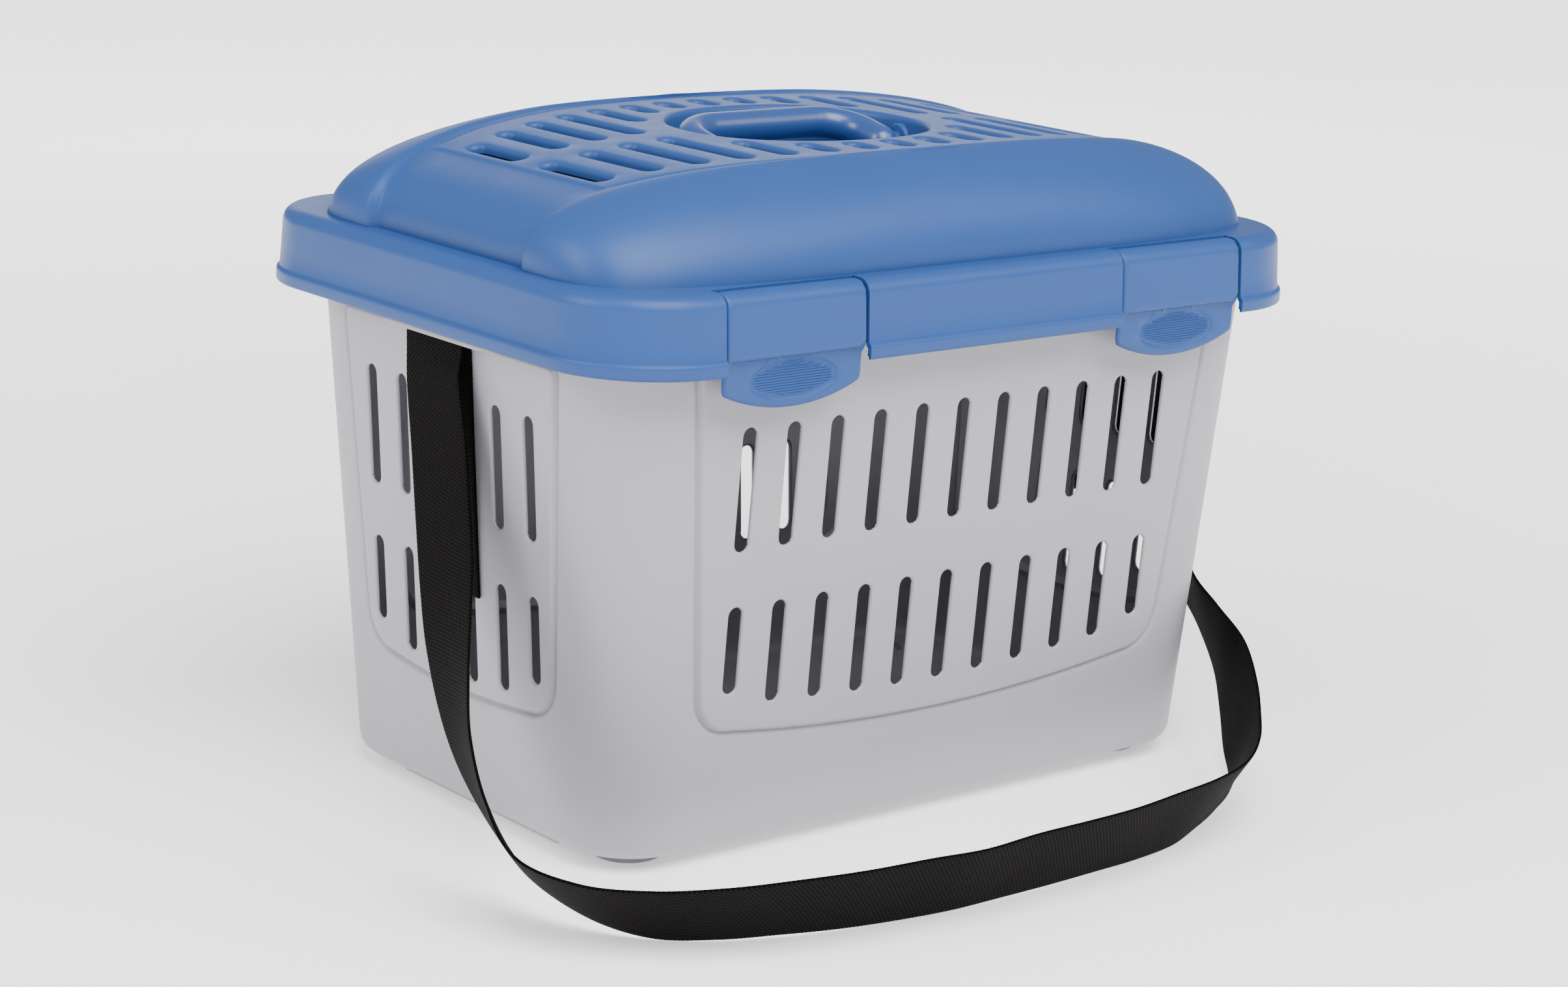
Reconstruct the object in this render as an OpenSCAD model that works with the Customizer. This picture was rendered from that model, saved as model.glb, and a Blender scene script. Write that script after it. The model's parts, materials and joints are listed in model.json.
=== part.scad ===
// Plastic pet keeper: a light grey tub with vent slots, a domed blue lid that
// hinges at the back, a folding carry handle in an oval well, two front latches
// and a webbing shoulder strap. Millimetres, +Z up, +X along the long side,
// +Y to the back. The origin is on the table, under the middle of the lid.

/* [Lid] */
// Length of the lid over its lower lip
lid_len = 450; // [440:1:480]
// Depth of the lid over its lower lip
lid_dep = 322; // [318:1:344]
// Corner radius of the lid's lower lip
lid_corner = 54; // [48:1:60]
// Height of the lip's underside above the table
lid_bottom = 245; // [235:1:255]
// Height of the lid's skirt, from the lip to the flange
skirt_h = 37; // [34:1:44]
// Height of the lip band
lip_h = 6.6; // [4:0.2:9]
// How far the lip stands out from the skirt
lip_out = 1.6; // [0.8:0.1:2.4]
// Inward lean of the skirt over its height
skirt_lean = 1.5; // [0.5:0.1:2.5]
// Radius of the skirt's upper edge
skirt_edge = 7; // [6:0.5:8]
// Wall thickness of the lid
lid_wall = 2.5; // [1.8:0.1:3]

/* [Dome] */
// How far the dome's end faces stand in from the ends of the lid
dome_in_end = 17; // [15:0.5:20]
// How far the dome's front and back stand in from the edges of the lid
dome_in_side = 21.3; // [18:0.1:24]
// Height of the dome above the flange
dome_h = 47.6; // [40:0.2:56]
// Distance from an end face's edge to the dome's front, at the flange
end_in = 79.7; // [70:0.1:90]
// Distance from the grille field's edge to the dome's front, at the middle
crest_in = 39.5; // [34:0.5:44]
// How far the shoulders stand out beyond the end faces, at the flange
shoulder_out = 4.5; // [2:0.5:6]
// How far the shoulders stand above the grille field
shoulder_step = 1.4; // [0.6:0.1:2]
// Width of the ramp that climbs from the end faces to the shoulders
shoulder_ramp = 5; // [3:0.5:8]

/* [Grille] */
// Spacing of the grille slots
grille_pitch = 23; // [21:0.2:25]
// Width of a grille slot
grille_w = 9.5; // [7:0.5:12]
// Half width of the band between the two rows at its outer end
band_half = 9; // [6:0.5:12]
// Margin between the slots and the edge of the grille field
grille_margin = 14; // [10:0.5:17]
// Extra margin of the outermost slots, in the front row
grille_front_extra = 2; // [0:0.5:6]
// Extra margin of the outermost slots, in the rear row
grille_rear_extra = 10; // [4:0.5:12]

/* [Handle well] */
// Length of the well's mouth
well_len = 134; // [130:1:138]
// Depth of the well's mouth, front to back
well_dep = 118; // [112:1:124]
// Depth of the well below the top of the dome
well_deep = 36; // [32:1:38]
// Rim left round the well, up to the nearest grille slot
well_rim = 8; // [6:0.5:10]

/* [Handle] */
// Thickness of the handle bar
handle_d = 15; // [13:0.5:17]
// Distance between the centres of the handle's arms
handle_span = 100; // [96:1:102]
// Reach of the handle from its pivot to the grip
handle_reach = 40; // [36:1:42]
// Bend radius of the handle's corners, at the centre of the bar
handle_bend = 24; // [18:1:28]
// Upward tilt of the folded handle
handle_tilt = 12; // [8:1:14]
// Diameter of the handle's pivot stubs
stub_d = 9; // [7:0.5:10]
// How far the stubs enter their bosses
stub_l = 6; // [4:0.5:8]

/* [Tub] */
// How far each end of the tub, at table height, stands in from the lid
tub_in_end = 32; // [31:0.5:36]
// How far the front and back of the tub stand in from the lid, at table height
tub_in_side = 42; // [41:0.5:44]
// Outward lean of the tub walls, per millimetre of height
tub_lean = 0.066; // [0.058:0.001:0.068]
// Corner radius of the tub at table height
tub_corner = 37.5; // [34:0.5:44]
// Growth of the corner radius, per millimetre of height
tub_corner_lean = 0.02; // [0:0.005:0.03]
// Wall thickness of the tub
tub_wall = 2.4; // [1.8:0.1:3]
// Radius of the tub's bottom edge
tub_edge = 8; // [6:0.5:12]
// Gap between the tub's rim and the flange of the lid
rim_gap = 0.3; // [0.3:0.1:0.8]
// How far the tub sits ahead of the middle of the lid
tub_ahead = 4.2; // [3:0.1:5]
// Height of the rim flange's underside below the lid flange
flange_drop = 20; // [18:0.5:21]
// Thickness of the rim flange
flange_t = 2.5; // [2:0.1:3]

/* [Feet] */
// Diameter of a foot
foot_d = 36; // [30:1:38]
// Height of a foot, which is the tub's clearance above the table
foot_h = 6.3; // [5:0.1:8]
// How far a foot's centre stands in from the end of the tub
foot_in_end = 35; // [33:0.5:40]
// How far a foot's centre stands in from the front or back of the tub
foot_in_side = 33.5; // [32:0.5:40]
// How far the skid under each end stands below the floor
skid_h = 3; // [1:0.5:4]
// Diameter of the foot's push-in stem
stem_d = 8; // [6:0.5:10]

/* [Vent slots] */
// Width of a vent slot
vent_w = 6.3; // [5:0.1:8]
// Spacing of the vent slots, front and back
vent_pitch_long = 26.3; // [24:0.1:28]
// Spacing of the vent slots at the ends
vent_pitch_end = 26.2; // [24:0.1:28]
// Height of the upper row's lower ends
vent_up_lo = 154.6; // [150:0.2:160]
// Height of the upper row's upper ends
vent_up_hi = 214.4; // [205:0.2:216]
// Height of the lower row's upper ends
vent_low_hi = 127.6; // [120:0.2:135]
// Height of the lower row's lower ends at the middle
vent_low_lo = 72.2; // [66:0.2:80]
// How much higher the lower row's lower ends are at the ends of the row
vent_bow = 8; // [4:0.5:10]
// Extra height of the outermost slots' lower ends
vent_corner_lift = 4.8; // [2:0.2:8]

/* [Wall panels] */
// How far a panel stands proud of its wall
panel_proud = 1.2; // [0.6:0.1:2]
// Height of the front and rear panels' lower edge at the middle
panel_low_long = 57.5; // [55:0.5:62]
// Height of the end panels' lower edge at the middle
panel_low_end = 66; // [60:0.5:68]
// How much higher the front and rear panels' lower edge is at its corners
panel_bow_long = 9; // [4:0.5:12]
// How much higher the end panels' lower edge is at its corners
panel_bow_end = 4; // [2:0.5:8]
// Distance of the front and rear panels' edges from the ends of the tub
panel_in_long = 44; // [42:1:50]
// Distance of the end panels' edges from the front and back of the tub
panel_in_end = 41.5; // [38:0.5:46]
// Radius of the panels' lower corners
panel_corner = 20; // [14:1:28]

/* [Latches] */
// Distance of a latch's centre from the end of the lid
latch_in = 102.2; // [98:0.2:110]
// Width of a latch
latch_w = 78; // [70:0.5:82]
// Gap at each side of a latch
latch_gap = 2.6; // [1.5:0.1:3.5]
// Thickness of the latch panel
latch_t = 3; // [2.4:0.1:3.4]
// Height of the finger tab below the latch panel
tab_h = 25; // [20:0.5:30]
// How far the tab is set back behind the panel
tab_back = 3; // [2:0.1:4]
// Rise of the tab's curved lower edge at its corners
tab_curve = 9; // [6:0.5:12]
// Length of the oval grip
grip_len = 48; // [40:1:54]
// Height of the oval grip
grip_h = 17.5; // [14:0.5:19]
// Number of ribs in the oval grip
grip_ribs = 14; // [8:1:16]
// Diameter of a latch pin
latch_pin_d = 4; // [3:0.2:5]
// Depth of the latch hook under the rim flange
hook_bite = 3; // [2:0.2:3.4]

/* [Hinge] */
// Distance of a hinge's centre from the end of the lid
hinge_from_end = 115; // [105:1:130]
// Width of a hinge knuckle
knuckle_w = 24; // [18:1:32]
// Thickness of a hinge ear
ear_t = 5; // [4:0.5:7]
// Height of the hinge axis above the lid's lip
hinge_up = 9; // [8:0.5:11]
// Distance of the hinge axis from the back of the lid
hinge_in = 16; // [15.5:0.1:17]
// Radius of the hinge knuckles
knuckle_r = 6; // [5.5:0.1:6.4]
// Diameter of a hinge pin
hinge_pin_d = 5; // [4:0.2:6]

/* [Strap] */
// Width of the webbing
strap_w = 47; // [40:1:50]
// Thickness of the webbing
strap_t = 1.5; // [1:0.1:1.8]
// Length of the folded tail that hangs behind the strap
tail_len = 135; // [90:1:150]
// Length of the strap bracket along the wall
bracket_len = 94; // [80:1:110]
// Thickness of the strap bracket
bracket_t = 2.6; // [2:0.2:4]
// Width of the slot in the strap bracket
bracket_slot = 7; // [6.4:0.1:7.6]
// Thickness of the bracket's outer lip
bracket_lip = 2.4; // [1.8:0.1:3.2]
// Diameter of the strap bar above the bracket
strap_bar_d = 2.8; // [2.4:0.1:3.2]

/* [Hidden] */
$fn = 48;
// Small overlap of a cutter past the face it cuts
eps = 0.5;
// Running clearance on the radius of a pin or stub in its bore
run_fit = 0.1;
// Clearance on the radius of a hinge pin in the tub's ears
ear_fit = 0.05;
// Clearance on the radius of a foot's stem in the floor
push_fit = 0.1;
// Slack round the webbing: on its bar, and against the wall
web_fit = 0.15;
wall_fit = 0.3;
// Side clearance between pieces that turn next to each other
side_fit = 0.5;
// Plain margins: beside the outermost grille slot and vent slot
grille_end = 32;
vent_margin = 9;

// Middle plane of the tub, dome, well and grille
body_y = -tub_ahead;
// Levels of the lid
flange_z = lid_bottom + skirt_h;
flange_under = flange_z - lid_wall;
lip_top = lid_bottom + lip_h;
dome_top = flange_z + dome_h;
skirt_inset = lip_out + skirt_lean;
edge_z = flange_z - skirt_edge;
// Half sizes of the dome
dome_a = lid_len / 2 - dome_in_end;
dome_b = lid_dep / 2 - dome_in_side;
end_half = dome_b - end_in;
crest_half = dome_b - crest_in;
// Exponents of the dome's end profile and of the grille field's bowed edge
end_power = 2.87;
bow_power = 1.84;
// Exponents of the dome's rounded corners, at the flange and at the top
foot_power = 4.2;
top_power = 1.65;
// Where the front and rear profiles of the dome stop below the vertical
crest_angle = 75;
// Segments of a corner, and the angles of the dome's rings
corner_seg = 10;
dome_angles = [0, 4, 10, 18, 27, 37, 47, 57, 66, 74, 81, 86];
inner_angles = [0, 10, 22, 36, 50, 63, 75, 85];
edge_angles = [0, 30, 60, 90];

// Points of one quarter of a skirt ring: the end face, then the corner
function skirt_quarter(inset) =
    let (a = lid_len / 2 - inset, b = lid_dep / 2 - inset, r = lid_corner - inset)
    concat([[a, end_half * 0.9]],
           [for (i = [0:corner_seg])
                [a - r + r * cos(90 * i / corner_seg), b - r + r * sin(90 * i / corner_seg)]]);

// Height share of the end profile at a given half length share
function end_share(u) = pow(1 - pow(u, end_power), 1 / end_power);

// Half width of the grille field and end faces at a distance from the middle
function crest_at(x) = crest_half - (crest_half - end_half) * pow(min(1, x / dome_a), bow_power);

// Depth share of the front profile at a given height share
function slope_share(h) =
    let (phi = asin(min(1, h) * sin(crest_angle)))
    (cos(phi) - cos(crest_angle)) / (1 - cos(crest_angle));

// Points of one quarter of a dome ring, with the dome shrunk by a wall. A step of
// 1 raises the shoulders to their full height, a step of 0 leaves them level
function dome_quarter(angle, wall, step) =
    let (a = (dome_a - wall) * pow(cos(angle), 2 / end_power),
         h = pow(sin(angle), 2 / end_power),
         z = flange_z + (dome_h - wall) * h,
         s = crest_at(a),
         b = crest_half + (dome_b - wall - crest_half) * slope_share(h),
         n = foot_power + (top_power - foot_power) * h,
         out = step * shoulder_out * cos(angle),
         up = step * shoulder_step * sin(angle),
         ramp = min(shoulder_ramp, 0.4 * (b - s)))
    concat([[a, s, z]],
           [for (i = [0:corner_seg])
                let (t = 90 * i / corner_seg)
                [(a + out) * pow(cos(t), 2 / n), s + ramp + (b - s - ramp) * pow(sin(t), 2 / n), z + up]]);

// A whole ring from one quarter, mirrored about both axes
function flip(p, sx, sy) = len(p) == 3 ? [sx * p[0], sy * p[1], p[2]] : [sx * p[0], sy * p[1]];
function whole(quarter) =
    let (n = len(quarter) - 1)
    concat(quarter,
           [for (i = [n:-1:0]) flip(quarter[i], -1, 1)],
           [for (i = [0:n]) flip(quarter[i], -1, -1)],
           [for (i = [n:-1:0]) flip(quarter[i], 1, -1)]);
function lift(ring, z) = [for (p = ring) [p[0], p[1], z]];
function shift(ring, dy) = [for (p = ring) [p[0], p[1] + dy, p[2]]];

// Faces between two neighbouring rings of n points
function band(k, m, n) =
    [for (i = [0:n - 1]) each [[k * n + i, m * n + i, m * n + (i + 1) % n],
                               [k * n + i, m * n + (i + 1) % n, k * n + (i + 1) % n]]];

// Faces that close a ring of four mirrored quarters, joined left to right
function ladder(k, n) =
    let (h = n / 2, b = k * n)
    concat([for (i = [0:h / 2 - 2]) each [[b + i, b + h - 1 - i, b + h - 2 - i],
                                          [b + i, b + h - 2 - i, b + i + 1]]],
           [for (i = [0:h / 2 - 2]) each [[b + h + i, b + n - 1 - i, b + n - 2 - i],
                                          [b + h + i, b + n - 2 - i, b + h + i + 1]]],
           [[b, b + n - 1, b + h], [b, b + h, b + h - 1]]);
function turned(faces) = [for (f = faces) [f[2], f[1], f[0]]];

// A shell between outer rings that climb and inner rings that come back down
module shell(outer, inner) {
    n = len(outer[0]);
    rings = concat(outer, inner);
    last = len(rings) - 1;
    polyhedron(
        points = [for (r = rings) each r],
        faces = concat(
            [for (k = [0:len(outer) - 2]) each band(k, k + 1, n)],
            ladder(len(outer) - 1, n),
            turned(ladder(len(outer), n)),
            [for (k = [len(outer):last - 1]) each band(k, k + 1, n)],
            band(last, 0, n)));
}

// A closed solid through rings of n points each
module loft(rings) {
    n = len(rings[0]);
    last = len(rings) - 1;
    polyhedron(
        points = [for (r = rings) each r],
        faces = concat(
            [[for (i = [0:n - 1]) i]],
            [for (k = [0:last - 1]) each band(k, k + 1, n)],
            [[for (i = [n - 1:-1:0]) last * n + i]]));
}

// A flat outline with round ends along Y
module stadium(w, y0, y1, $fn = 16) {
    translate([-w / 2, y0 + w / 2]) square([w, y1 - y0 - w]);
    translate([0, y0 + w / 2]) circle(d = w);
    translate([0, y1 - w / 2]) circle(d = w);
}

// Lid ----------------------------------------------------------------------

function skirt_ring(inset, z) = lift(whole(skirt_quarter(inset)), z);
function dome_ring(angle, wall, step) = shift(whole(dome_quarter(angle, wall, step)), body_y);

module lid_shell() {
    inner_edge = skirt_edge - lid_wall;
    shell(
        concat(
            [skirt_ring(0.8, lid_bottom), skirt_ring(0, lid_bottom + 0.8), skirt_ring(0, lip_top),
             skirt_ring(lip_out, lip_top + 1)],
            [for (a = edge_angles)
                skirt_ring(skirt_inset + skirt_edge * (1 - cos(a)), edge_z + skirt_edge * sin(a))],
            [for (a = dome_angles) dome_ring(a, 0, 1)]),
        concat(
            [for (i = [len(inner_angles) - 1:-1:0]) dome_ring(inner_angles[i], lid_wall, 0)],
            [shift(lift(whole(dome_quarter(0, lid_wall, 0)), flange_under), body_y)],
            [for (i = [len(edge_angles) - 1:-1:0])
                skirt_ring(skirt_inset + lid_wall + inner_edge * (1 - cos(edge_angles[i])),
                           edge_z + inner_edge * sin(edge_angles[i]))],
            [skirt_ring(lip_out + lid_wall, lip_top + 1 - lid_wall / 2),
             skirt_ring(lip_out + lid_wall, lid_bottom)]));
}

// Outline of the well, a softened oval, at a given shrink
well_power = 2.2;
function well_ring(shrink, z) =
    [for (i = [0:47])
        let (c = cos(7.5 * i), s = sin(7.5 * i))
        [(well_len / 2 - shrink) * sign(c) * pow(abs(c), 2 / well_power),
         body_y + (well_dep / 2 - shrink) * sign(s) * pow(abs(s), 2 / well_power), z]];
well_floor = dome_top - well_deep;

module well_outside() {
    loft([well_ring(9, well_floor - lid_wall), well_ring(4, well_floor),
          well_ring(0.5, well_floor + 9), well_ring(-lid_wall, dome_top - lid_wall)]);
}

module well_inside() {
    loft([well_ring(12, well_floor), well_ring(7.5, well_floor + 2), well_ring(3.5, well_floor + 9),
          well_ring(0.6, dome_top - 3), well_ring(0, dome_top - 1.5), well_ring(-3, dome_top + 2)]);
}

// Extent of the well, rim included, at a distance from the middle
function well_reach(x) =
    let (a = well_len / 2 + well_rim, b = well_dep / 2 + well_rim)
    x >= a ? 0 : b * pow(1 - pow(x / a, well_power), 1 / well_power);

grille_half = floor((dome_a - grille_end - grille_w / 2) / grille_pitch);

module grille_cuts() {
    for (k = [-grille_half:grille_half]) {
        x = abs(k) * grille_pitch;
        edge = crest_at(x) - grille_margin;
        share = pow(k / grille_half, 2);
        front = edge - grille_front_extra * share;
        rear = edge - grille_rear_extra * share;
        lo = max(well_reach(max(0, x - grille_w / 2)), band_half);
        translate([k * grille_pitch, body_y, flange_z]) linear_extrude(dome_h + 10) {
            if (front - lo > 1.2 * grille_w) stadium(grille_w, -front, -lo);
            if (rear - lo > 1.2 * grille_w) stadium(grille_w, lo, rear);
        }
    }
}

// Pivot of the handle
pivot_y = body_y - 2;
pivot_z = dome_top - 12.5;
arm_x = handle_span / 2;
boss_x = well_len / 2 - 3;
boss_l = stub_l + 2;

module handle_bosses() {
    for (side = [-1, 1])
        translate([side * (boss_x + boss_l / 2), pivot_y, pivot_z])
            rotate([0, 90, 0]) cylinder(d = stub_d + 8, h = boss_l, center = true);
}

// Ledges under the arms, on which the folded handle lies
rest_y = 13;
rest_w = 6;
rest_gap = 0.3;
module handle_rests() {
    start = rest_y - rest_w / 2;
    top = pivot_z + start * tan(handle_tilt) - handle_d / 2 / cos(handle_tilt) - rest_gap;
    for (side = [-1, 1])
        translate([side > 0 ? arm_x - 1 : -well_len / 2, pivot_y + start, well_floor - 1])
            cube([well_len / 2 - arm_x + 1, rest_w, top - well_floor + 1]);
}

// Latch geometry that the lid shares
latch_axis_y = -(lid_dep / 2 - skirt_inset - skirt_edge);
latch_axis_z = edge_z;
latch_x = lid_len / 2 - latch_in;
barrel_r = skirt_edge;
notch_w = latch_w + 2 * latch_gap;
cheek_t = 3.5;

module latch_notch(x) {
    translate([x - notch_w / 2, -lid_dep / 2 - 5, lid_bottom - 5])
        cube([notch_w, lid_dep / 2 + 5 + latch_axis_y, skirt_h + 10]);
    translate([x, latch_axis_y, latch_axis_z])
        rotate([0, 90, 0]) cylinder(r = barrel_r + side_fit, h = notch_w, center = true);
    translate([x - notch_w / 2, latch_axis_y - 1, lid_bottom - 5])
        cube([notch_w, barrel_r + side_fit + 1, latch_axis_z - lid_bottom + 5]);
}

module latch_cheeks(x) {
    for (side = [-1, 1])
        translate([x + side * (notch_w + cheek_t) / 2, latch_axis_y, latch_axis_z])
            rotate([0, 90, 0]) cylinder(r = barrel_r - 0.8, h = cheek_t, center = true);
}

module latch_bores(x) {
    translate([x, latch_axis_y, latch_axis_z])
        rotate([0, 90, 0]) cylinder(d = latch_pin_d + 2 * run_fit, h = notch_w + 2 * cheek_t + 2, center = true);
}

// Hinge geometry that lid and tub share
hinge_y = lid_dep / 2 - hinge_in;
hinge_z = lid_bottom + hinge_up;
hinge_x = lid_len / 2 - hinge_from_end;

module knuckles() {
    for (side = [-1, 1])
        translate([side * hinge_x, hinge_y, hinge_z]) {
            rotate([0, 90, 0]) cylinder(r = knuckle_r, h = knuckle_w, center = true);
            translate([-knuckle_w / 2, -knuckle_r * 0.7, 0])
                cube([knuckle_w, knuckle_r * 1.4, flange_under - hinge_z + 1]);
        }
}

module hinge_bores(extra) {
    for (side = [-1, 1])
        translate([side * hinge_x, hinge_y, hinge_z])
            rotate([0, 90, 0])
                cylinder(d = hinge_pin_d + extra, h = knuckle_w + 4 * ear_t, center = true);
}

module lid() {
    color("steelblue")
    difference() {
        union() {
            lid_shell();
            well_outside();
            handle_bosses();
            knuckles();
            for (side = [-1, 1]) latch_cheeks(side * latch_x);
        }
        difference() {
            well_inside();
            handle_rests();
        }
        grille_cuts();
        for (side = [-1, 1])
            translate([side * (boss_x + stub_l / 2 - 2), pivot_y, pivot_z])
                rotate([0, 90, 0]) cylinder(d = stub_d + 2 * run_fit, h = stub_l + 4, center = true);
        for (side = [-1, 1]) {
            latch_notch(side * latch_x);
            latch_bores(side * latch_x);
        }
        hinge_bores(2 * run_fit);
    }
}

// Handle -------------------------------------------------------------------

module handle($fn = 24) {
    straight = handle_reach - handle_bend;
    color("royalblue")
    translate([0, pivot_y, pivot_z]) rotate([handle_tilt, 0, 0]) {
        for (side = [-1, 1]) {
            translate([side * arm_x, 0, 0]) rotate([-90, 0, 0]) cylinder(d = handle_d, h = straight);
            translate([side * arm_x, 0, 0]) sphere(d = handle_d);
            translate([side * (arm_x + (boss_x + stub_l - 1 - arm_x) / 2), 0, 0])
                rotate([0, 90, 0]) cylinder(d = stub_d, h = boss_x + stub_l - 1 - arm_x, center = true);
            translate([side * (arm_x - handle_bend), straight, 0])
                rotate([0, 0, side > 0 ? 0 : 90])
                    rotate_extrude(angle = 90) translate([handle_bend, 0]) circle(d = handle_d);
        }
        translate([0, handle_reach, 0])
            rotate([0, 90, 0]) cylinder(d = handle_d, h = handle_span - 2 * handle_bend, center = true);
    }
}

// Latches ------------------------------------------------------------------

// Outer face of the latch panel at the skirt's foot and at its rounded edge
panel_low_y = -(lid_dep / 2 - lip_out);
panel_high_y = latch_axis_y - barrel_r;
tab_y = panel_low_y + tab_back;
tab_low = lip_top - tab_h;
hook_z = flange_z - flange_drop;
hook_h = 5;
hook_half = 18;
hook_gap = 0.4;

// Section of the latch, in Y and Z
module latch_section() {
    polygon([
        [panel_high_y, latch_axis_z], [panel_low_y, lip_top], [tab_y, lip_top - tab_back * 0.6],
        [tab_y + 0.6, tab_low], [tab_y + latch_t + 0.2, tab_low],
        [tab_y + latch_t, lip_top - 1], [panel_low_y + latch_t, lip_top + 3],
        [panel_high_y + latch_t, latch_axis_z]]);
}

// Outline of the latch seen from the front, with its curved lower edge
module latch_front() {
    half = latch_w / 2;
    r = (half * half + tab_curve * tab_curve) / (2 * tab_curve);
    span = asin(half / r);
    polygon(concat(
        [[half, flange_z + 5], [-half, flange_z + 5]],
        [for (i = [0:16])
            let (a = -span + 2 * span * i / 16)
            [r * sin(a), tab_low + r - r * cos(a)]]));
}

grip_z = lip_top - 2.5 - grip_h / 2;
grip_recess = 1;
module grip_oval(grow) {
    polygon([for (i = [0:35]) [(grip_len / 2 + grow) * cos(10 * i), grip_z + (grip_h / 2 + grow) * sin(10 * i)]]);
}

module grip_cut() {
    translate([0, tab_y - 3 + grip_recess, 0])
        rotate([90, 0, 0]) translate([0, 0, -3]) linear_extrude(6) grip_oval(0);
}

module grip_bars() {
    step = grip_h / grip_ribs;
    intersection() {
        for (i = [0:grip_ribs - 1])
            translate([-grip_len / 2, tab_y + 0.3, grip_z - grip_h / 2 + (i + 0.25) * step])
                cube([grip_len, grip_recess + 1.2, step / 2]);
        translate([0, tab_y + 6, 0]) rotate([90, 0, 0]) linear_extrude(12) grip_oval(-0.2);
    }
}

module latch(x) {
    color("cornflowerblue")
    translate([x, 0, 0])
    difference() {
        union() {
            difference() {
                intersection() {
                    translate([-latch_w / 2, 0, 0])
                        rotate([90, 0, 90]) linear_extrude(latch_w) latch_section();
                    translate([0, 0, 0]) rotate([90, 0, 0]) linear_extrude(lid_dep) latch_front();
                }
                grip_cut();
            }
            grip_bars();
            translate([0, latch_axis_y, latch_axis_z])
                rotate([0, 90, 0]) cylinder(r = barrel_r, h = latch_w, center = true);
            translate([-hook_half, panel_low_y + latch_t - 1, hook_z - hook_h])
                cube([2 * hook_half, flange_front_y + hook_bite - panel_low_y - latch_t + 1, hook_h - hook_gap]);
        }
        translate([0, latch_axis_y, latch_axis_z])
            rotate([0, 90, 0]) cylinder(d = latch_pin_d + 2 * run_fit, h = latch_w + 2, center = true);
    }
}

module latch_pin(x) {
    color("silver")
    translate([x, latch_axis_y, latch_axis_z])
        rotate([0, 90, 0]) cylinder(d = latch_pin_d, h = notch_w + 2 * cheek_t, center = true);
}

module hinge_pin(side) {
    color("silver")
    translate([side * hinge_x, hinge_y, hinge_z])
        rotate([0, 90, 0]) cylinder(d = hinge_pin_d, h = knuckle_w + 2 * side_fit + 2 * ear_t, center = true);
}

// Tub ----------------------------------------------------------------------

// Half sizes of the tub at table height
tub_a = lid_len / 2 - tub_in_end;
tub_b = lid_dep / 2 - tub_in_side;

function tub_ring(inset, z) =
    let (a = tub_a + tub_lean * z - inset, b = tub_b + tub_lean * z - inset,
         r = tub_corner + tub_corner_lean * z - inset)
    [for (q = [0:3]) each
        [for (i = [0:corner_seg])
            let (t = 90 * (q + i / corner_seg),
                 sx = (q == 0 || q == 3) ? 1 : -1, sy = q < 2 ? 1 : -1)
            [sx * (a - r) + r * cos(t), body_y + sy * (b - r) + r * sin(t), z]]];

tub_top = flange_under - rim_gap;
tub_floor = foot_h + tub_wall;
flange_low = flange_z - flange_drop;
// Reach of the rim flange at the front, at the back and at the ends
flange_front_y = -(lid_dep / 2 - 11.5);
flange_back_y = hinge_y - knuckle_r - 2;
flange_end_x = lid_len / 2 - 7.5;

module tub_outside() {
    loft(concat(
        [for (a = [0, 30, 60]) tub_ring(tub_edge * (1 - sin(a)), foot_h + tub_edge * (1 - cos(a)))],
        [tub_ring(0, foot_h + tub_edge), tub_ring(0, tub_top)]));
}

module tub_inside() {
    loft(concat(
        [for (a = [0, 45])
            tub_ring(tub_wall + (tub_edge - tub_wall) * (1 - sin(a)),
                     tub_floor + (tub_edge - tub_wall) * (1 - cos(a)))],
        [tub_ring(tub_wall, foot_h + tub_edge), tub_ring(tub_wall, tub_top + 5)]));
}

// Half width of a wall at a height, on the long side and at the end
function wall_y(z) = tub_b + tub_lean * z;
function wall_x(z) = tub_a + tub_lean * z;

// Outline of a raised panel: bowed along its lower edge, with round lower corners
module panel_outline(half, low, bow, flare, top) {
    r = panel_corner;
    side = low + bow + r;
    wide = half + (top - side) * flare;
    polygon(concat(
        [[wide, top], [-wide, top]],
        [for (i = [0:6]) [-half + r - r * cos(15 * i), side - r * sin(15 * i)]],
        [for (i = [-4:4]) let (x = (half - r) * i / 5) [x, low + bow * pow(x / (half - r), 2)]],
        [for (i = [0:6]) [half - r + r * sin(15 * i), side - r * cos(15 * i)]]));
}

module panel(half, low, bow, flare, wall_at_zero, top) {
    translate([0, -wall_at_zero, 0]) rotate([atan(tub_lean), 0, 0])
        translate([0, 1, 0]) rotate([90, 0, 0]) linear_extrude(1 + panel_proud)
            panel_outline(half, low, bow, flare, top);
}

module rim_flange() {
    front = flange_front_y;
    back = flange_back_y;
    r = tub_corner + 6;
    translate([0, 0, flange_low]) linear_extrude(flange_t) difference() {
        translate([-flange_end_x + r, front + r]) {
            square([2 * flange_end_x - 2 * r, back - front - 2 * r]);
            translate([-r, 0]) square([2 * flange_end_x, back - front - 2 * r]);
            translate([0, -r]) square([2 * flange_end_x - 2 * r, back - front]);
            for (x = [0, 2 * flange_end_x - 2 * r], y = [0, back - front - 2 * r])
                translate([x, y]) circle(r = r);
        }
        polygon([for (p = tub_ring(1.2, flange_low)) [p[0], p[1]]]);
    }
}

// A vent slot seen along its wall
module vent(z0, z1, depth) {
    translate([0, depth, 0]) rotate([90, 0, 0]) linear_extrude(2 * depth) stadium(vent_w, z0, z1);
}

// Half widths of the panels at their lower corners, and their flare per millimetre
panel_long = tub_a - panel_in_long;
panel_end = tub_b - panel_in_end;
panel_flare_long = 0.086;
panel_flare_end = 0.063;

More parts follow.
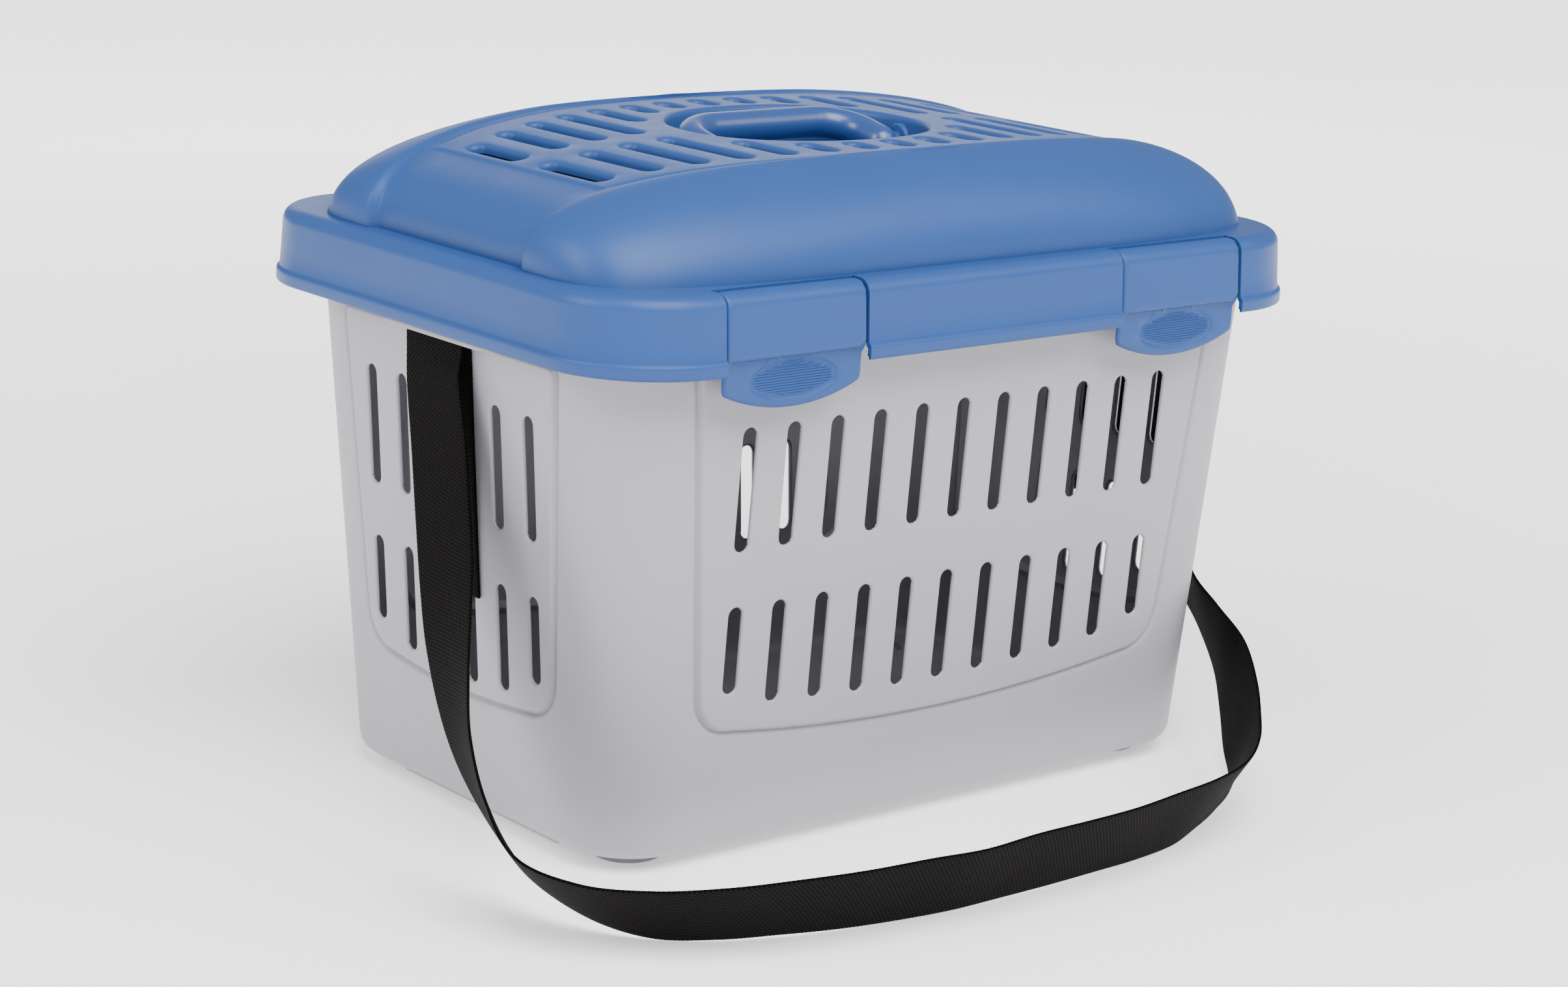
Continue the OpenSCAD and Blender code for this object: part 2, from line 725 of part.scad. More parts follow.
// Lower end of a slot in the lower row; it follows the panel's lower edge
function low_end(k, last) =
    let (u = abs(k) / last)
    vent_low_lo + vent_bow * u * u + (u > 0.99 ? vent_corner_lift : 0);

// Rows of slots in a wall; the last is the place of the outermost slot, counted
// in spacings from the middle
module vent_rows(last, pitch, wall) {
    for (k = [-last:last])
        translate([k * pitch, -wall, 0]) {
            vent(vent_up_lo, vent_up_hi, vent_cut);
            vent(low_end(k, last), vent_low_hi, vent_cut);
        }
}
vent_cut = 22;
vent_last_long = floor((panel_long - vent_margin) / vent_pitch_long);
vent_last_end = floor((panel_end - vent_margin) / vent_pitch_end + 0.5) - 0.5;

module hinge_ears() {
    reach = hinge_y + knuckle_r + 1;
    from = body_y + wall_y(hinge_z) - 1.5;
    for (side = [-1, 1], end = [-1, 1])
        translate([side * hinge_x + end * (knuckle_w + ear_t + 2 * side_fit) / 2, 0, hinge_z])
            rotate([0, 90, 0]) {
                translate([0, hinge_y, 0]) cylinder(r = knuckle_r + 1, h = ear_t, center = true);
                translate([-knuckle_r - 1, from, -ear_t / 2])
                    cube([2 * knuckle_r + 2, hinge_y - from, ear_t]);
            }
}

bracket_z = lid_bottom - 1.5;
bracket_x = wall_x(bracket_z) + bracket_slot + bracket_lip;
bracket_r = 6;
bar_z = bracket_z + 8.5;
bar_x = wall_x(bar_z) + wall_fit + strap_t + web_fit + strap_bar_d / 2;

module strap_bracket(side) {
    slot_half = strap_w / 2 + 2;
    root = wall_x(bracket_z) - 1.5;
    translate([0, body_y, 0]) rotate([0, 0, side > 0 ? 0 : 180]) {
        translate([0, 0, bracket_z - bracket_t]) linear_extrude(bracket_t) difference() {
            union() {
                translate([root, -bracket_len / 2]) square([bracket_x - bracket_r - root, bracket_len]);
                translate([root, bracket_r - bracket_len / 2])
                    square([bracket_x - root, bracket_len - 2 * bracket_r]);
                for (end = [-1, 1])
                    translate([bracket_x - bracket_r, end * (bracket_len / 2 - bracket_r)])
                        circle(r = bracket_r);
            }
            translate([wall_x(bracket_z), -slot_half]) square([bracket_slot, 2 * slot_half]);
        }
        for (end = [-1, 1])
            translate([root, end * (slot_half + 1.5) - 1.5, bracket_z - 1])
                cube([bar_x + 1.5 - root, 3, bar_z - bracket_z + 3]);
        translate([bar_x, 0, bar_z]) rotate([90, 0, 0])
            cylinder(d = strap_bar_d, h = 2 * slot_half + 2, center = true);
    }
}

// Low skid under each end of the tub, between the feet
skid_w = 9;
module skids() {
    half = tub_b - foot_in_side - foot_d / 2;
    for (side = [-1, 1])
        translate([side * (tub_a - tub_edge - skid_w / 2), body_y, foot_h - skid_h])
            linear_extrude(skid_h + 1) {
                square([skid_w, 2 * half - skid_w], center = true);
                for (end = [-1, 1]) translate([0, end * (half - skid_w / 2)]) circle(d = skid_w);
            }
}

module tub() {
    color("lightgray")
    difference() {
        union() {
            difference() {
                union() {
                    tub_outside();
                    translate([0, body_y, 0]) {
                        for (turn = [0, 180]) rotate([0, 0, turn])
                            panel(panel_long, panel_low_long, panel_bow_long, panel_flare_long, tub_b,
                                  flange_low + flange_t / 2);
                        for (turn = [90, -90]) rotate([0, 0, turn])
                            panel(panel_end, panel_low_end, panel_bow_end, panel_flare_end, tub_a,
                                  bracket_z - bracket_t);
                    }
                }
                tub_inside();
            }
            rim_flange();
            hinge_ears();
            strap_bracket(-1);
            strap_bracket(1);
            skids();
        }
        translate([0, body_y, 0]) {
            for (turn = [0, 180]) rotate([0, 0, turn])
                vent_rows(vent_last_long, vent_pitch_long, wall_y(vent_up_lo));
            for (turn = [90, -90]) rotate([0, 0, turn])
                vent_rows(vent_last_end, vent_pitch_end, wall_x(vent_up_lo));
        }
        hinge_bores(2 * ear_fit);
        for (sx = [-1, 1], sy = [-1, 1])
            translate([sx * foot_x, body_y + sy * foot_y, foot_h - 5])
                cylinder(d = stem_d + 2 * push_fit, h = 12);
    }
}

// Centre of a foot from the middle of the tub
foot_x = tub_a - foot_in_end;
foot_y = tub_b - foot_in_side;

module foot(sx, sy, $fn = 32) {
    color("gainsboro")
    translate([sx * foot_x, body_y + sy * foot_y, 0]) {
        cylinder(d1 = foot_d - 2, d2 = foot_d, h = 1.2);
        translate([0, 0, 1.2]) cylinder(d = foot_d, h = foot_h - 1.2);
        cylinder(d = stem_d, h = foot_h + tub_wall);
        translate([0, 0, foot_h + tub_wall]) cylinder(d1 = stem_d + 3, d2 = stem_d, h = 2);
    }
}

// Strap --------------------------------------------------------------------

// Route of the strap's loose run: the middle of the webbing, then the way its
// width points there, as a turn about Z from the front and a rise above level.
// It hangs from both ends of the tub and stands on its edge on the table in front.
loose = [
    [-217, -6, 219, 2, 13], [-220, -16, 190, 0, 19], [-226, -29, 163, -1, 25],
    [-234, -45, 137, -1, 29], [-244, -63, 114, 4, 35], [-253, -82, 91, 15, 39],
    [-260, -103, 69, 30, 39], [-262, -125, 48, 42, 36], [-260, -150, 30, 48, 32],
    [-247, -177, 21, 43, 38], [-227, -200, 18, 36, 46], [-202, -218, 19, 30, 49],
    [-173, -230, 20, 23, 51], [-143, -238, 20, 18, 53], [-112, -243, 20, 12, 55],
    [-82, -247, 20, 8, 55], [-51, -248, 21, 4, 57], [-20, -248, 21, 0, 57],
    [11, -247, 21, -3, 57], [42, -244, 21, -7, 59], [73, -239, 21, -11, 59],
    [102, -228, 21, -13, 57], [129, -213, 22, -11, 61], [154, -195, 26, 2, 68],
    [173, -173, 35, 2, 65], [190, -150, 48, 17, 64], [202, -125, 61, 48, 60],
    [211, -99, 76, 58, 53], [223, -77, 94, 27, 54], [233, -56, 114, -16, 43],
    [239, -34, 136, -41, 28], [238, -18, 162, -49, 22], [230, -9, 191, -38, 18],
    [219, -5, 219, -18, 9]];
// Half length and half depth of the tub the loose run is laid round
loose_a = 193;
loose_b = 119;
strap_at = bar_x + strap_bar_d / 2 + web_fit + strap_t / 2;
route = concat(
    [[-strap_at, body_y, bar_z, 0, 0], [-strap_at, body_y, bar_z - 6, 0, 0],
     [-strap_at, body_y, bar_z - 15, 0, 3]],
    [for (p = loose) [p[0] * tub_a / loose_a, p[1] * tub_b / loose_b, p[2], p[3], p[4]]],
    [[strap_at, body_y, bar_z - 15, 0, 1], [strap_at, body_y, bar_z - 6, 0, 0], [strap_at, body_y, bar_z, 0, 0]]);
// A smooth curve through the route, at a station or a part of the way to the next
function station(i) = route[max(0, min(len(route) - 1, i))];
function along(u) =
    let (i = floor(u), t = u - i, p = station(i - 1), q = station(i), r = station(i + 1), s = station(i + 2))
    0.5 * (2 * q + (r - p) * t + (2 * p - 5 * q + 4 * r - s) * t * t + (3 * q - p - 3 * r + s) * t * t * t);
function place(v) = [v[0], v[1], v[2]];
function width_way(v) = [-sin(v[3]) * cos(v[4]), -cos(v[3]) * cos(v[4]), sin(v[4])];
function unit(v) = v / norm(v);

// Section of the flat webbing, in half widths and thicknesses
web_section = [[1, 0.5], [-1, 0.5], [-1, -0.5], [1, -0.5]];
function web_ring(u) =
    let (here = along(u),
         way = unit(place(along(min(u + 0.25, len(route) - 1))) - place(along(max(u - 0.25, 0)))),
         thick = unit(cross(way, width_way(here))),
         wide = cross(thick, way))
    [for (p = web_section) place(here) + wide * p[0] * strap_w / 2 + thick * p[1] * strap_t];

module strap() {
    color("black") loft([for (k = [0:4 * (len(route) - 1)]) web_ring(k / 4)]);
}

// End of the webbing: over the bar, through the slot and down the wall
loop_in = strap_bar_d / 2 + web_fit;
loop_out = loop_in + strap_t;
tail_gap = panel_proud + wall_fit;
tail_top = bracket_z - bracket_t - 1;
tail_low = bar_z - tail_len;

module strap_end(side) {
    color("black")
    translate([0, body_y, 0]) rotate([0, 0, side > 0 ? 0 : 180])
        translate([0, strap_w / 2, 0]) rotate([90, 0, 0]) linear_extrude(strap_w) {
            difference() {
                translate([bar_x, bar_z]) circle(r = loop_out);
                translate([bar_x, bar_z]) circle(r = loop_in);
                translate([bar_x - 2 * loop_out, bar_z - 2 * loop_out]) square([4 * loop_out, 2 * loop_out]);
            }
            polygon([
                [bar_x - loop_out, bar_z], [wall_x(tail_top) + tail_gap, tail_top],
                [wall_x(tail_low) + tail_gap, tail_low], [wall_x(tail_low) + tail_gap + strap_t, tail_low],
                [wall_x(tail_top) + tail_gap + strap_t, tail_top], [bar_x - loop_in, bar_z]]);
        }
}

tub();
foot(-1, -1);  // foot_front_left
foot(1, -1);  // foot_front_right
foot(-1, 1);  // foot_rear_left
foot(1, 1);  // foot_rear_right
lid();
handle();
latch(-latch_x);  // latch_left
latch(latch_x);  // latch_right
latch_pin(-latch_x);  // latch_pin_left
latch_pin(latch_x);  // latch_pin_right
hinge_pin(-1);  // hinge_pin_left
hinge_pin(1);  // hinge_pin_right
strap();
strap_end(-1);  // strap_end_left
strap_end(1);  // strap_end_right
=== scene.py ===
import json
import math
import bpy
import bmesh
import numpy as np
from mathutils import Matrix, Vector
from mathutils.geometry import delaunay_2d_cdt

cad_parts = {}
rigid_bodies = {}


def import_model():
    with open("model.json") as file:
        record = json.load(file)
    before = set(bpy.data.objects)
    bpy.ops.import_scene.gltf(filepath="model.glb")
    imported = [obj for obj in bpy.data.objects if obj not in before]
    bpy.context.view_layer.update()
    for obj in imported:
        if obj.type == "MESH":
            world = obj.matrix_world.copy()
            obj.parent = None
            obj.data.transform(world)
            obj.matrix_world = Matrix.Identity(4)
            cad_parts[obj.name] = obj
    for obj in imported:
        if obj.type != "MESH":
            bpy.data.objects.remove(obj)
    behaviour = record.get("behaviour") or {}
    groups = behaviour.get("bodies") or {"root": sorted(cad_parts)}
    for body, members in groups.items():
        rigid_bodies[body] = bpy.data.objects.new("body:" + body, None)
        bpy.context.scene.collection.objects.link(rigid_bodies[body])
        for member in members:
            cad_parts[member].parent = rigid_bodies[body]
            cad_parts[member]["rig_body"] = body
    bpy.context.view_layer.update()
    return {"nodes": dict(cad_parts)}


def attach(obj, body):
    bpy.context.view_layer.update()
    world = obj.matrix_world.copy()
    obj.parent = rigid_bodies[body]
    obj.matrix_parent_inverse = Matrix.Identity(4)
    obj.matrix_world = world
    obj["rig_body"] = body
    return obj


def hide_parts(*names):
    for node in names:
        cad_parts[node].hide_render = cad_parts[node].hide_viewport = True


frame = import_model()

MM = 0.001

# ---------------- camera
camera_place = Vector((-1.1035, -1.3270, 0.5648))
camera_azimuth = math.radians(39.869)
camera_drop = math.radians(13.921)
camera_roll = math.radians(2.467)


def put(name, data):
    """A new object in the scene."""
    new = bpy.data.objects.new(name, data)
    bpy.context.scene.collection.objects.link(new)
    return new


def add_camera():
    ahead = Vector((math.sin(camera_azimuth) * math.cos(camera_drop),
                    math.cos(camera_azimuth) * math.cos(camera_drop),
                    -math.sin(camera_drop)))
    level = Vector((math.cos(camera_azimuth), -math.sin(camera_azimuth), 0.0))
    upright = level.cross(ahead)
    right = level * math.cos(camera_roll) + upright * math.sin(camera_roll)
    up = upright * math.cos(camera_roll) - level * math.sin(camera_roll)
    data = bpy.data.cameras.new("camera")
    data.sensor_width = 36.0
    data.lens = 79.33
    camera = put("camera", data)
    turn = Matrix((right, up, -ahead)).transposed()
    camera.matrix_world = Matrix.Translation(camera_place) @ turn.to_4x4()
    bpy.context.scene.camera = camera


add_camera()

# ---------------- measures of the carrier, in millimetres
body_y = -4.2
# lid: outline, skirt, dome, shoulders
lid_a, lid_b, lid_r = 225.0, 161.0, 54.0
lid_bottom, flange_z, lip_top = 245.0, 282.0, 251.6
lip_out, skirt_lean, skirt_edge, lid_wall = 1.6, 1.5, 7.0, 2.5
skirt_inset = lip_out + skirt_lean
dome_a, dome_b, dome_h = 208.0, 139.7, 47.6
dome_top = flange_z + dome_h
end_half, crest_half = 60.0, 100.2
end_power, bow_power, foot_power, top_power = 2.87, 1.84, 4.2, 1.65
shoulder_out, shoulder_step, shoulder_ramp = 4.5, 1.4, 5.0
# grille: slots on each side of the middle, their least length, and the lip and throat of each
grille_pitch, grille_w, grille_half, band_half = 23.0, 8.8, 7, 9.0
grille_margin, grille_least, slot_lip, slot_throat = 14.0, 11.4, 2.8, 1.6
plateau_x, plateau_step = 171.0, 1.0
ridge_in, ridge_deep, ridge_w = 2.8, 0.6, 1.1
# well, handle and its pivots
well_half_x, well_half_y, well_power, well_deep, well_rim, well_lip = 67.0, 59.0, 2.2, 36.0, 8.0, 3.0
well_floor = dome_top - well_deep
pivot_y, pivot_z = body_y - 2.0, dome_top - 12.5
boss_in, boss_out, boss_r, axle_r, axle_end = 64.0, 71.5, 8.5, 4.5, 69.0
ledge_in, ledge_out, ledge_near, ledge_far, arm_r = 49.0, 60.0, 10.0, 16.0, 7.5
grip_span, grip_reach, grip_bend, grip_r, grip_tilt = 54.0, 33.0, 22.0, 8.0, math.radians(12)
# tub
tub_a, tub_b, tub_lean = 193.0, 119.0, 0.066
tub_corner, tub_corner_lean = 37.5, 0.02
foot_h, tub_edge, tub_wall, tub_top = 6.3, 8.0, 2.4, 279.2
rim_low, rim_high, rim_half, rim_front, rim_back, rim_corner = 262.0, 264.5, 217.5, -149.5, 137.0, 43.5
vent_w, vent_lip, vent_throat, vent_bow, vent_corner_lift = 8.2, 1.2, 0.5, 8.0, 4.8
vent_up_low, vent_up_high, vent_down_low, vent_down_high = 154.6, 214.4, 72.2, 127.6
panel_proud, groove_deep = 1.2, 1.7
foot_x, foot_y = 158.0, 85.5
skid_x, skid_half, skid_r = 180.5, 67.5, 4.5
# latches and hinge
latch_x, latch_w, notch_w = 122.8, 81.0, 83.2
latch_y, latch_z, latch_wall = -150.9, 275.0, 2.4
barrel_r, barrel_room = 7.0, 5.6
tab_low, tab_bow, tab_corner = 226.6, 9.0, 3.0
oval_half, oval_rise, oval_z, oval_ribs, oval_run = 25.6, 9.2, 240.0, 14, 17.5
hook_half, hook_low, hook_high, hook_front, hook_back = 18.0, 257.2, 261.4, -157.2, -146.5
hinge_x, hinge_y, hinge_z, knuckle_half, knuckle_r = 110.0, 145.0, 254.0, 12.0, 6.0
ear_out, ear_half, ear_r = 15.0, 2.5, 7.0
# strap, its brackets and its bars
strap_w, strap_t, strap_tail = 47.0, 1.5, 135.0
weave_along, weave_across, weave_shift, scallop = 2.1, 1.5, 200, 0.22
bracket_z, bracket_t, bracket_half, bracket_hole, bracket_out, bracket_corner = 243.5, 2.6, 42.0, 25.5, 9.4, 6.0
bar_x, bar_z, bar_d, web_fit, wall_fit = 212.98, 252.0, 2.8, 0.15, 0.3


def wall_x(z):
    return tub_a + tub_lean * z


def wall_y(z):
    return tub_b + tub_lean * z


# ---------------- materials
def new_material(name):
    material = bpy.data.materials.new(name)
    material.use_nodes = True
    tree = material.node_tree
    return material, tree, tree.nodes["Principled BSDF"]


def set_inputs(tree, node, inputs):
    """Gives a node's inputs their values, or links them where a socket is given."""
    for name, value in inputs.items():
        if isinstance(value, bpy.types.NodeSocket):
            tree.links.new(value, node.inputs[name])
        else:
            node.inputs[name].default_value = value
    return node


def object_place(tree):
    return tree.nodes.new("ShaderNodeTexCoord").outputs["Object"]


def noise_of(tree, source, scale, detail=2.0, rough=0.5):
    noise = tree.nodes.new("ShaderNodeTexNoise")
    set_inputs(tree, noise, {"Scale": scale, "Detail": detail, "Roughness": rough, "Vector": source})
    return noise.outputs["Fac"]


def ramp_of(tree, source, low, high, start=0.3, end=0.7):
    ramp = tree.nodes.new("ShaderNodeMapRange")
    set_inputs(tree, ramp, {"Value": source, "From Min": start, "From Max": end, "To Min": low, "To Max": high})
    return ramp.outputs["Result"]


def mix_of(tree, share, low, high):
    mix = tree.nodes.new("ShaderNodeMix")
    mix.data_type = "RGBA"
    set_inputs(tree, mix, {"Factor": share, "A": (*low, 1.0), "B": (*high, 1.0)})
    return mix.outputs["Result"]


def bump_of(tree, height, strength, distance):
    bump = tree.nodes.new("ShaderNodeBump")
    set_inputs(tree, bump, {"Height": height, "Strength": strength, "Distance": distance})
    return bump.outputs["Normal"]


def moulded_plastic(name, colour, deeper, roughness, grain, coat=0.0, specular=0.5):
    """Satin injection moulded plastic: slow colour drift, patchy gloss and a fine tool grain."""
    material, tree, shader = new_material(name)
    place = object_place(tree)
    drift = ramp_of(tree, noise_of(tree, place, 9.0, 3.0), 0.0, 1.0, 0.25, 0.75)
    patches = noise_of(tree, place, 38.0, 4.0, 0.6)
    set_inputs(tree, shader, {
        "Base Color": mix_of(tree, drift, deeper, colour),
        "Roughness": ramp_of(tree, patches, roughness - 0.03, roughness + 0.03),
        "Normal": bump_of(tree, noise_of(tree, place, 1500.0, 2.0, 0.6), grain, 0.00006),
        "Specular IOR Level": specular, "Coat Weight": coat, "Coat Roughness": 0.18})
    return material


def drawn_steel():
    """Bright pin steel, with fine lines along x."""
    material, tree, shader = new_material("drawn_steel")
    stretch = tree.nodes.new("ShaderNodeMapping")
    set_inputs(tree, stretch, {"Scale": (40.0, 900.0, 900.0), "Vector": object_place(tree)})
    lines = noise_of(tree, stretch.outputs["Vector"], 1.0, 2.0)
    set_inputs(tree, shader, {"Base Color": mix_of(tree, lines, (0.45, 0.45, 0.46), (0.62, 0.62, 0.63)),
                              "Metallic": 1.0, "Roughness": ramp_of(tree, lines, 0.28, 0.42)})
    return material


def woven_webbing():
    """Plain woven webbing: rows of floats, offset like bricks, read from the weave UV in millimetres; its base colour
    is painted shade, near black in the dips between floats and lighter on their tops.
    """
    material, tree, shader = new_material("woven_webbing")
    uv = tree.nodes.new("ShaderNodeUVMap")
    uv.uv_map = "weave"
    split = tree.nodes.new("ShaderNodeSeparateXYZ")
    set_inputs(tree, split, {"Vector": uv.outputs["UV"]})

    def calc(operation, *values):
        node = tree.nodes.new("ShaderNodeMath")
        node.operation = operation
        return set_inputs(tree, node, dict(enumerate(values))).outputs["Value"]

    along = calc("DIVIDE", split.outputs["X"], weave_along)
    across = calc("DIVIDE", split.outputs["Y"], weave_across)
    odd = calc("MODULO", calc("FLOOR", across), 2.0)
    shifted = calc("ADD", along, calc("MULTIPLY", odd, 0.5))
    rounds = [calc("COSINE", calc("MULTIPLY", calc("SUBTRACT", calc("FRACT", at), 0.5), 3.0))
              for at in (shifted, across)]
    fuzz = noise_of(tree, object_place(tree), 2600.0, 2.0)
    raised = calc("ADD", calc("MULTIPLY", *rounds), calc("MULTIPLY", fuzz, 0.35))
    # painted shade: the base colour follows float height, near black in the dips between floats and lighter on the
    # float tops
    share = ramp_of(tree, raised, 0.0, 1.0, 0.45, 1.15)
    set_inputs(tree, shader, {
        "Base Color": mix_of(tree, share, (0.0002, 0.0002, 0.0002), (0.0080, 0.0062, 0.0050)),
        "Roughness": ramp_of(tree, raised, 0.85, 0.65, 0.2, 1.2),
        "Normal": bump_of(tree, raised, 0.8, 0.0004), "Specular IOR Level": 0.06})
    return material


blue_satin = moulded_plastic("blue_satin", (0.0225, 0.064, 0.212), (0.0205, 0.060, 0.202),
                             roughness=0.40, grain=0.3, specular=0.22)
blue_gloss = moulded_plastic("blue_gloss", (0.0190, 0.057, 0.200), (0.0175, 0.053, 0.190),
                             roughness=0.34, grain=0.15, coat=0.2)
grey_satin = moulded_plastic("grey_satin", (0.350, 0.333, 0.370), (0.330, 0.314, 0.350),
                             roughness=0.46, grain=0.35, specular=0.4)
grey_foot = moulded_plastic("grey_foot", (0.22, 0.21, 0.23), (0.20, 0.19, 0.21),
                            roughness=0.55, grain=0.5)
pin_steel = drawn_steel()
webbing = woven_webbing()


# ---------------- mesh helpers
weld, sliver = 0.004, 0.002


def as_object(name, bm, material, sharp):
    """A mesh object at the origin: millimetres to metres, smooth but for edges over the sharp angle."""
    bmesh.ops.scale(bm, vec=(MM, MM, MM), verts=bm.verts)
    mesh = bpy.data.meshes.new(name)
    bm.to_mesh(mesh)
    bm.free()
    mesh.shade_smooth()
    mesh.set_sharp_from_angle(angle=math.radians(sharp))
    mesh.materials.append(material)
    return put(name, mesh)


def clean(bm):
    """Welds neighbouring patches and drops slivers."""
    bmesh.ops.remove_doubles(bm, verts=bm.verts, dist=weld)
    bmesh.ops.dissolve_degenerate(bm, edges=bm.edges, dist=sliver)


def finish_piece(name, bm, material, body, nodes, outward=True):
    """Cleans a piece, turns its faces out where it has no wall of its own, attaches it to its body and hides the parts
    it stands for.
    """
    clean(bm)
    if outward:
        bmesh.ops.recalc_face_normals(bm, faces=bm.faces)
    piece = as_object(name, bm, material, 35.0)
    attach(piece, body)
    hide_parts(*nodes)


quarter_turn = [90 * i / 14 for i in range(15)]
corner_signs = ((1, 1), (-1, 1), (-1, -1), (1, -1))


def arc(x, y, r, degrees):
    """Points round a centre, at these degrees."""
    return [(x + r * math.cos(math.radians(a)), y + r * math.sin(math.radians(a))) for a in degrees]


def both_halves(half):
    """A run of points, then the same run turned half round."""
    return half + [(-x, -y) for x, y in half]


def sheet(bm, corners, faces):
    """Adds the faces of a sheet on new corners."""
    verts = [bm.verts.new(p) for p in corners]
    return [bm.faces.new([verts[i] for i in f]) for f in faces]


def skin(bm, rings, loop=True, leave_out=None):
    """Quads between neighbouring rings of points, but for those whose middle is to be left out."""
    rows = [[bm.verts.new(p) for p in ring] for ring in rings]
    for low, high in zip(rows, rows[1:]):
        n = len(low)
        for i in range(n if loop else n - 1):
            j = (i + 1) % n
            quad = (low[i], low[j], high[j], high[i])
            if leave_out is None or not leave_out(sum((v.co for v in quad), Vector()) / 4):
                bm.faces.new(quad)
    return rows


def into(bm, other):
    """Adds one bmesh to another."""
    mesh = bpy.data.meshes.new("part")
    other.to_mesh(mesh)
    other.free()
    bm.from_mesh(mesh)
    bpy.data.meshes.remove(mesh)


def ease_edges(bm, edges, by, segments=2):
    bmesh.ops.bevel(bm, geom=edges, offset=by, segments=segments, profile=0.5, affect="EDGES", material=-1)


def level_edges(bm):
    return [e for e in bm.edges if abs(e.verts[0].co.z - e.verts[1].co.z) < 1e-6]


def rod(bm, a, b, radius, segments=32, round_by=0.0):
    """A closed round rod from a to b, with eased ends."""
    new = bmesh.new()
    a, b = Vector(a), Vector(b)
    bmesh.ops.create_cone(new, cap_ends=True, segments=segments, radius1=radius, radius2=radius, depth=(b - a).length)
    if round_by:
        ease_edges(new, level_edges(new), round_by, 3)
    turn = Vector((0, 0, 1)).rotation_difference((b - a).normalized()).to_matrix().to_4x4()
    bmesh.ops.transform(new, matrix=Matrix.Translation((a + b) / 2) @ turn, verts=new.verts)
    into(bm, new)


def block(bm, low, high, round_by=0.4):
    """A closed block with eased edges."""
    new = bmesh.new()
    low, high = Vector(low), Vector(high)
    bmesh.ops.create_cube(new, size=1.0)
    bmesh.ops.scale(new, vec=high - low, verts=new.verts)
    bmesh.ops.translate(new, vec=(low + high) / 2, verts=new.verts)
    ease_edges(new, new.edges[:], round_by)
    into(bm, new)


def slab(bm, outline, low, high, place, round_by=0.4):
    """A flat outline given thickness, with eased edges, then put in place by a matrix."""
    new = bmesh.new()
    face = new.faces.new([new.verts.new((x, y, low)) for x, y in outline])
    top = bmesh.ops.extrude_face_region(new, geom=[face])
    raised = [v for v in top["geom"] if isinstance(v, bmesh.types.BMVert)]
    bmesh.ops.translate(new, vec=(0, 0, high - low), verts=raised)
    bmesh.ops.recalc_face_normals(new, faces=new.faces)
    ease_edges(new, level_edges(new), round_by)
    bmesh.ops.transform(new, matrix=place, verts=new.verts)
    into(bm, new)


def plate(outline, loops, seeds, inside):
    """Triangles of a flat sheet with edges along the loops; inside(points) says which to keep."""
    points, edges = [], []
    for loop in [outline] + loops:
        start, n = len(points), len(loop)
        points += [Vector((float(p[0]), float(p[1]))) for p in loop]
        edges += [(start + i, start + (i + 1) % n) for i in range(n)]
    points += [Vector((float(p[0]), float(p[1]))) for p in seeds]
    corners, _, faces, _, _, _ = delaunay_2d_cdt(points, edges, [], 1, 1e-5)
    corners = np.array([(c.x, c.y) for c in corners])
    faces = np.array([f for f in faces if len(f) == 3])
    faces = faces[inside(corners[faces].mean(axis=1))]
    return corners, faces


def rolled(d, r):
    """Drop of a rolled edge of radius r at a distance d from it."""
    e = np.clip(r - d, 0.0, r)
    return r - np.sqrt(np.maximum(r * r - e * e, 0.0))


def ease(t):
    return t * t * (3 - 2 * t)


def smooth(low, high, v):
    """Rises from 0 at low to 1 at high."""
    return ease(np.clip((v - low) / (high - low), 0.0, 1.0))


def unit(rows):
    """Each row at length one."""
    return rows / np.linalg.norm(rows, axis=1)[:, None]


def slot_distance(p, slot):
    """Distance from the edge of a slot with round ends: (middle, start, end, width)."""
    x, lo, hi, w = slot
    reach = (hi - lo - w) / 2
    return np.hypot(p[:, 0] - x, np.maximum(np.abs(p[:, 1] - (lo + hi) / 2) - reach, 0.0)) - w / 2


def slot_loop(slot, grow, step=9.0):
    """The slot's outline grown by a distance, with stations along its straight sides."""
    x, lo, hi, w = slot
    r = w / 2 + grow
    a, b = lo + w / 2, hi - w / 2
    n = max(1, round((b - a) / step))
    half_turn = [math.pi * i / 8 for i in range(9)]
    loop = [(x + r * math.cos(t), b + r * math.sin(t)) for t in half_turn]
    loop += [(x - r, b + (a - b) * i / n) for i in range(1, n)]
    loop += [(x - r * math.cos(t), a - r * math.sin(t)) for t in half_turn]
    loop += [(x + r, a + (b - a) * i / n) for i in range(1, n)]
    return loop


def nearest_slot(p, slots):
    return np.min([slot_distance(p, s) for s in slots], axis=0)


def line_distance(p, loop):
    """Distance from a closed outline, positive inside it."""
    a = np.array(loop)
    b = np.roll(a, -1, axis=0)
    way = b - a
    best = np.full(len(p), 1e9)
    crossed = np.zeros(len(p), bool)
    for (ax, ay), (bx, by), (wx, wy) in zip(a, b, way):
        t = np.clip(((p[:, 0] - ax) * wx + (p[:, 1] - ay) * wy) / max(wx * wx + wy * wy, 1e-12), 0, 1)
        best = np.minimum(best, np.hypot(p[:, 0] - ax - t * wx, p[:, 1] - ay - t * wy))
        if ay != by:
            hit = ((ay > p[:, 1]) != (by > p[:, 1])) & (p[:, 0] < (bx - ax) * (p[:, 1] - ay) / (by - ay) + ax)
            crossed ^= hit
    return np.where(crossed, best, -best)


def offset_loop(loop, by):
    """The outline moved outwards by a distance; it runs anticlockwise."""
    a = np.array(loop)
    before, after = unit(a - np.roll(a, 1, axis=0)), unit(np.roll(a, -1, axis=0) - a)
    n = unit(np.stack([before[:, 1] + after[:, 1], -before[:, 0] - after[:, 0]], axis=1))
    lengthen = np.clip((n * np.stack([after[:, 1], -after[:, 0]], axis=1)).sum(axis=1), 0.6, 1)
    return [tuple(p) for p in a + n * (by / lengthen)[:, None]]


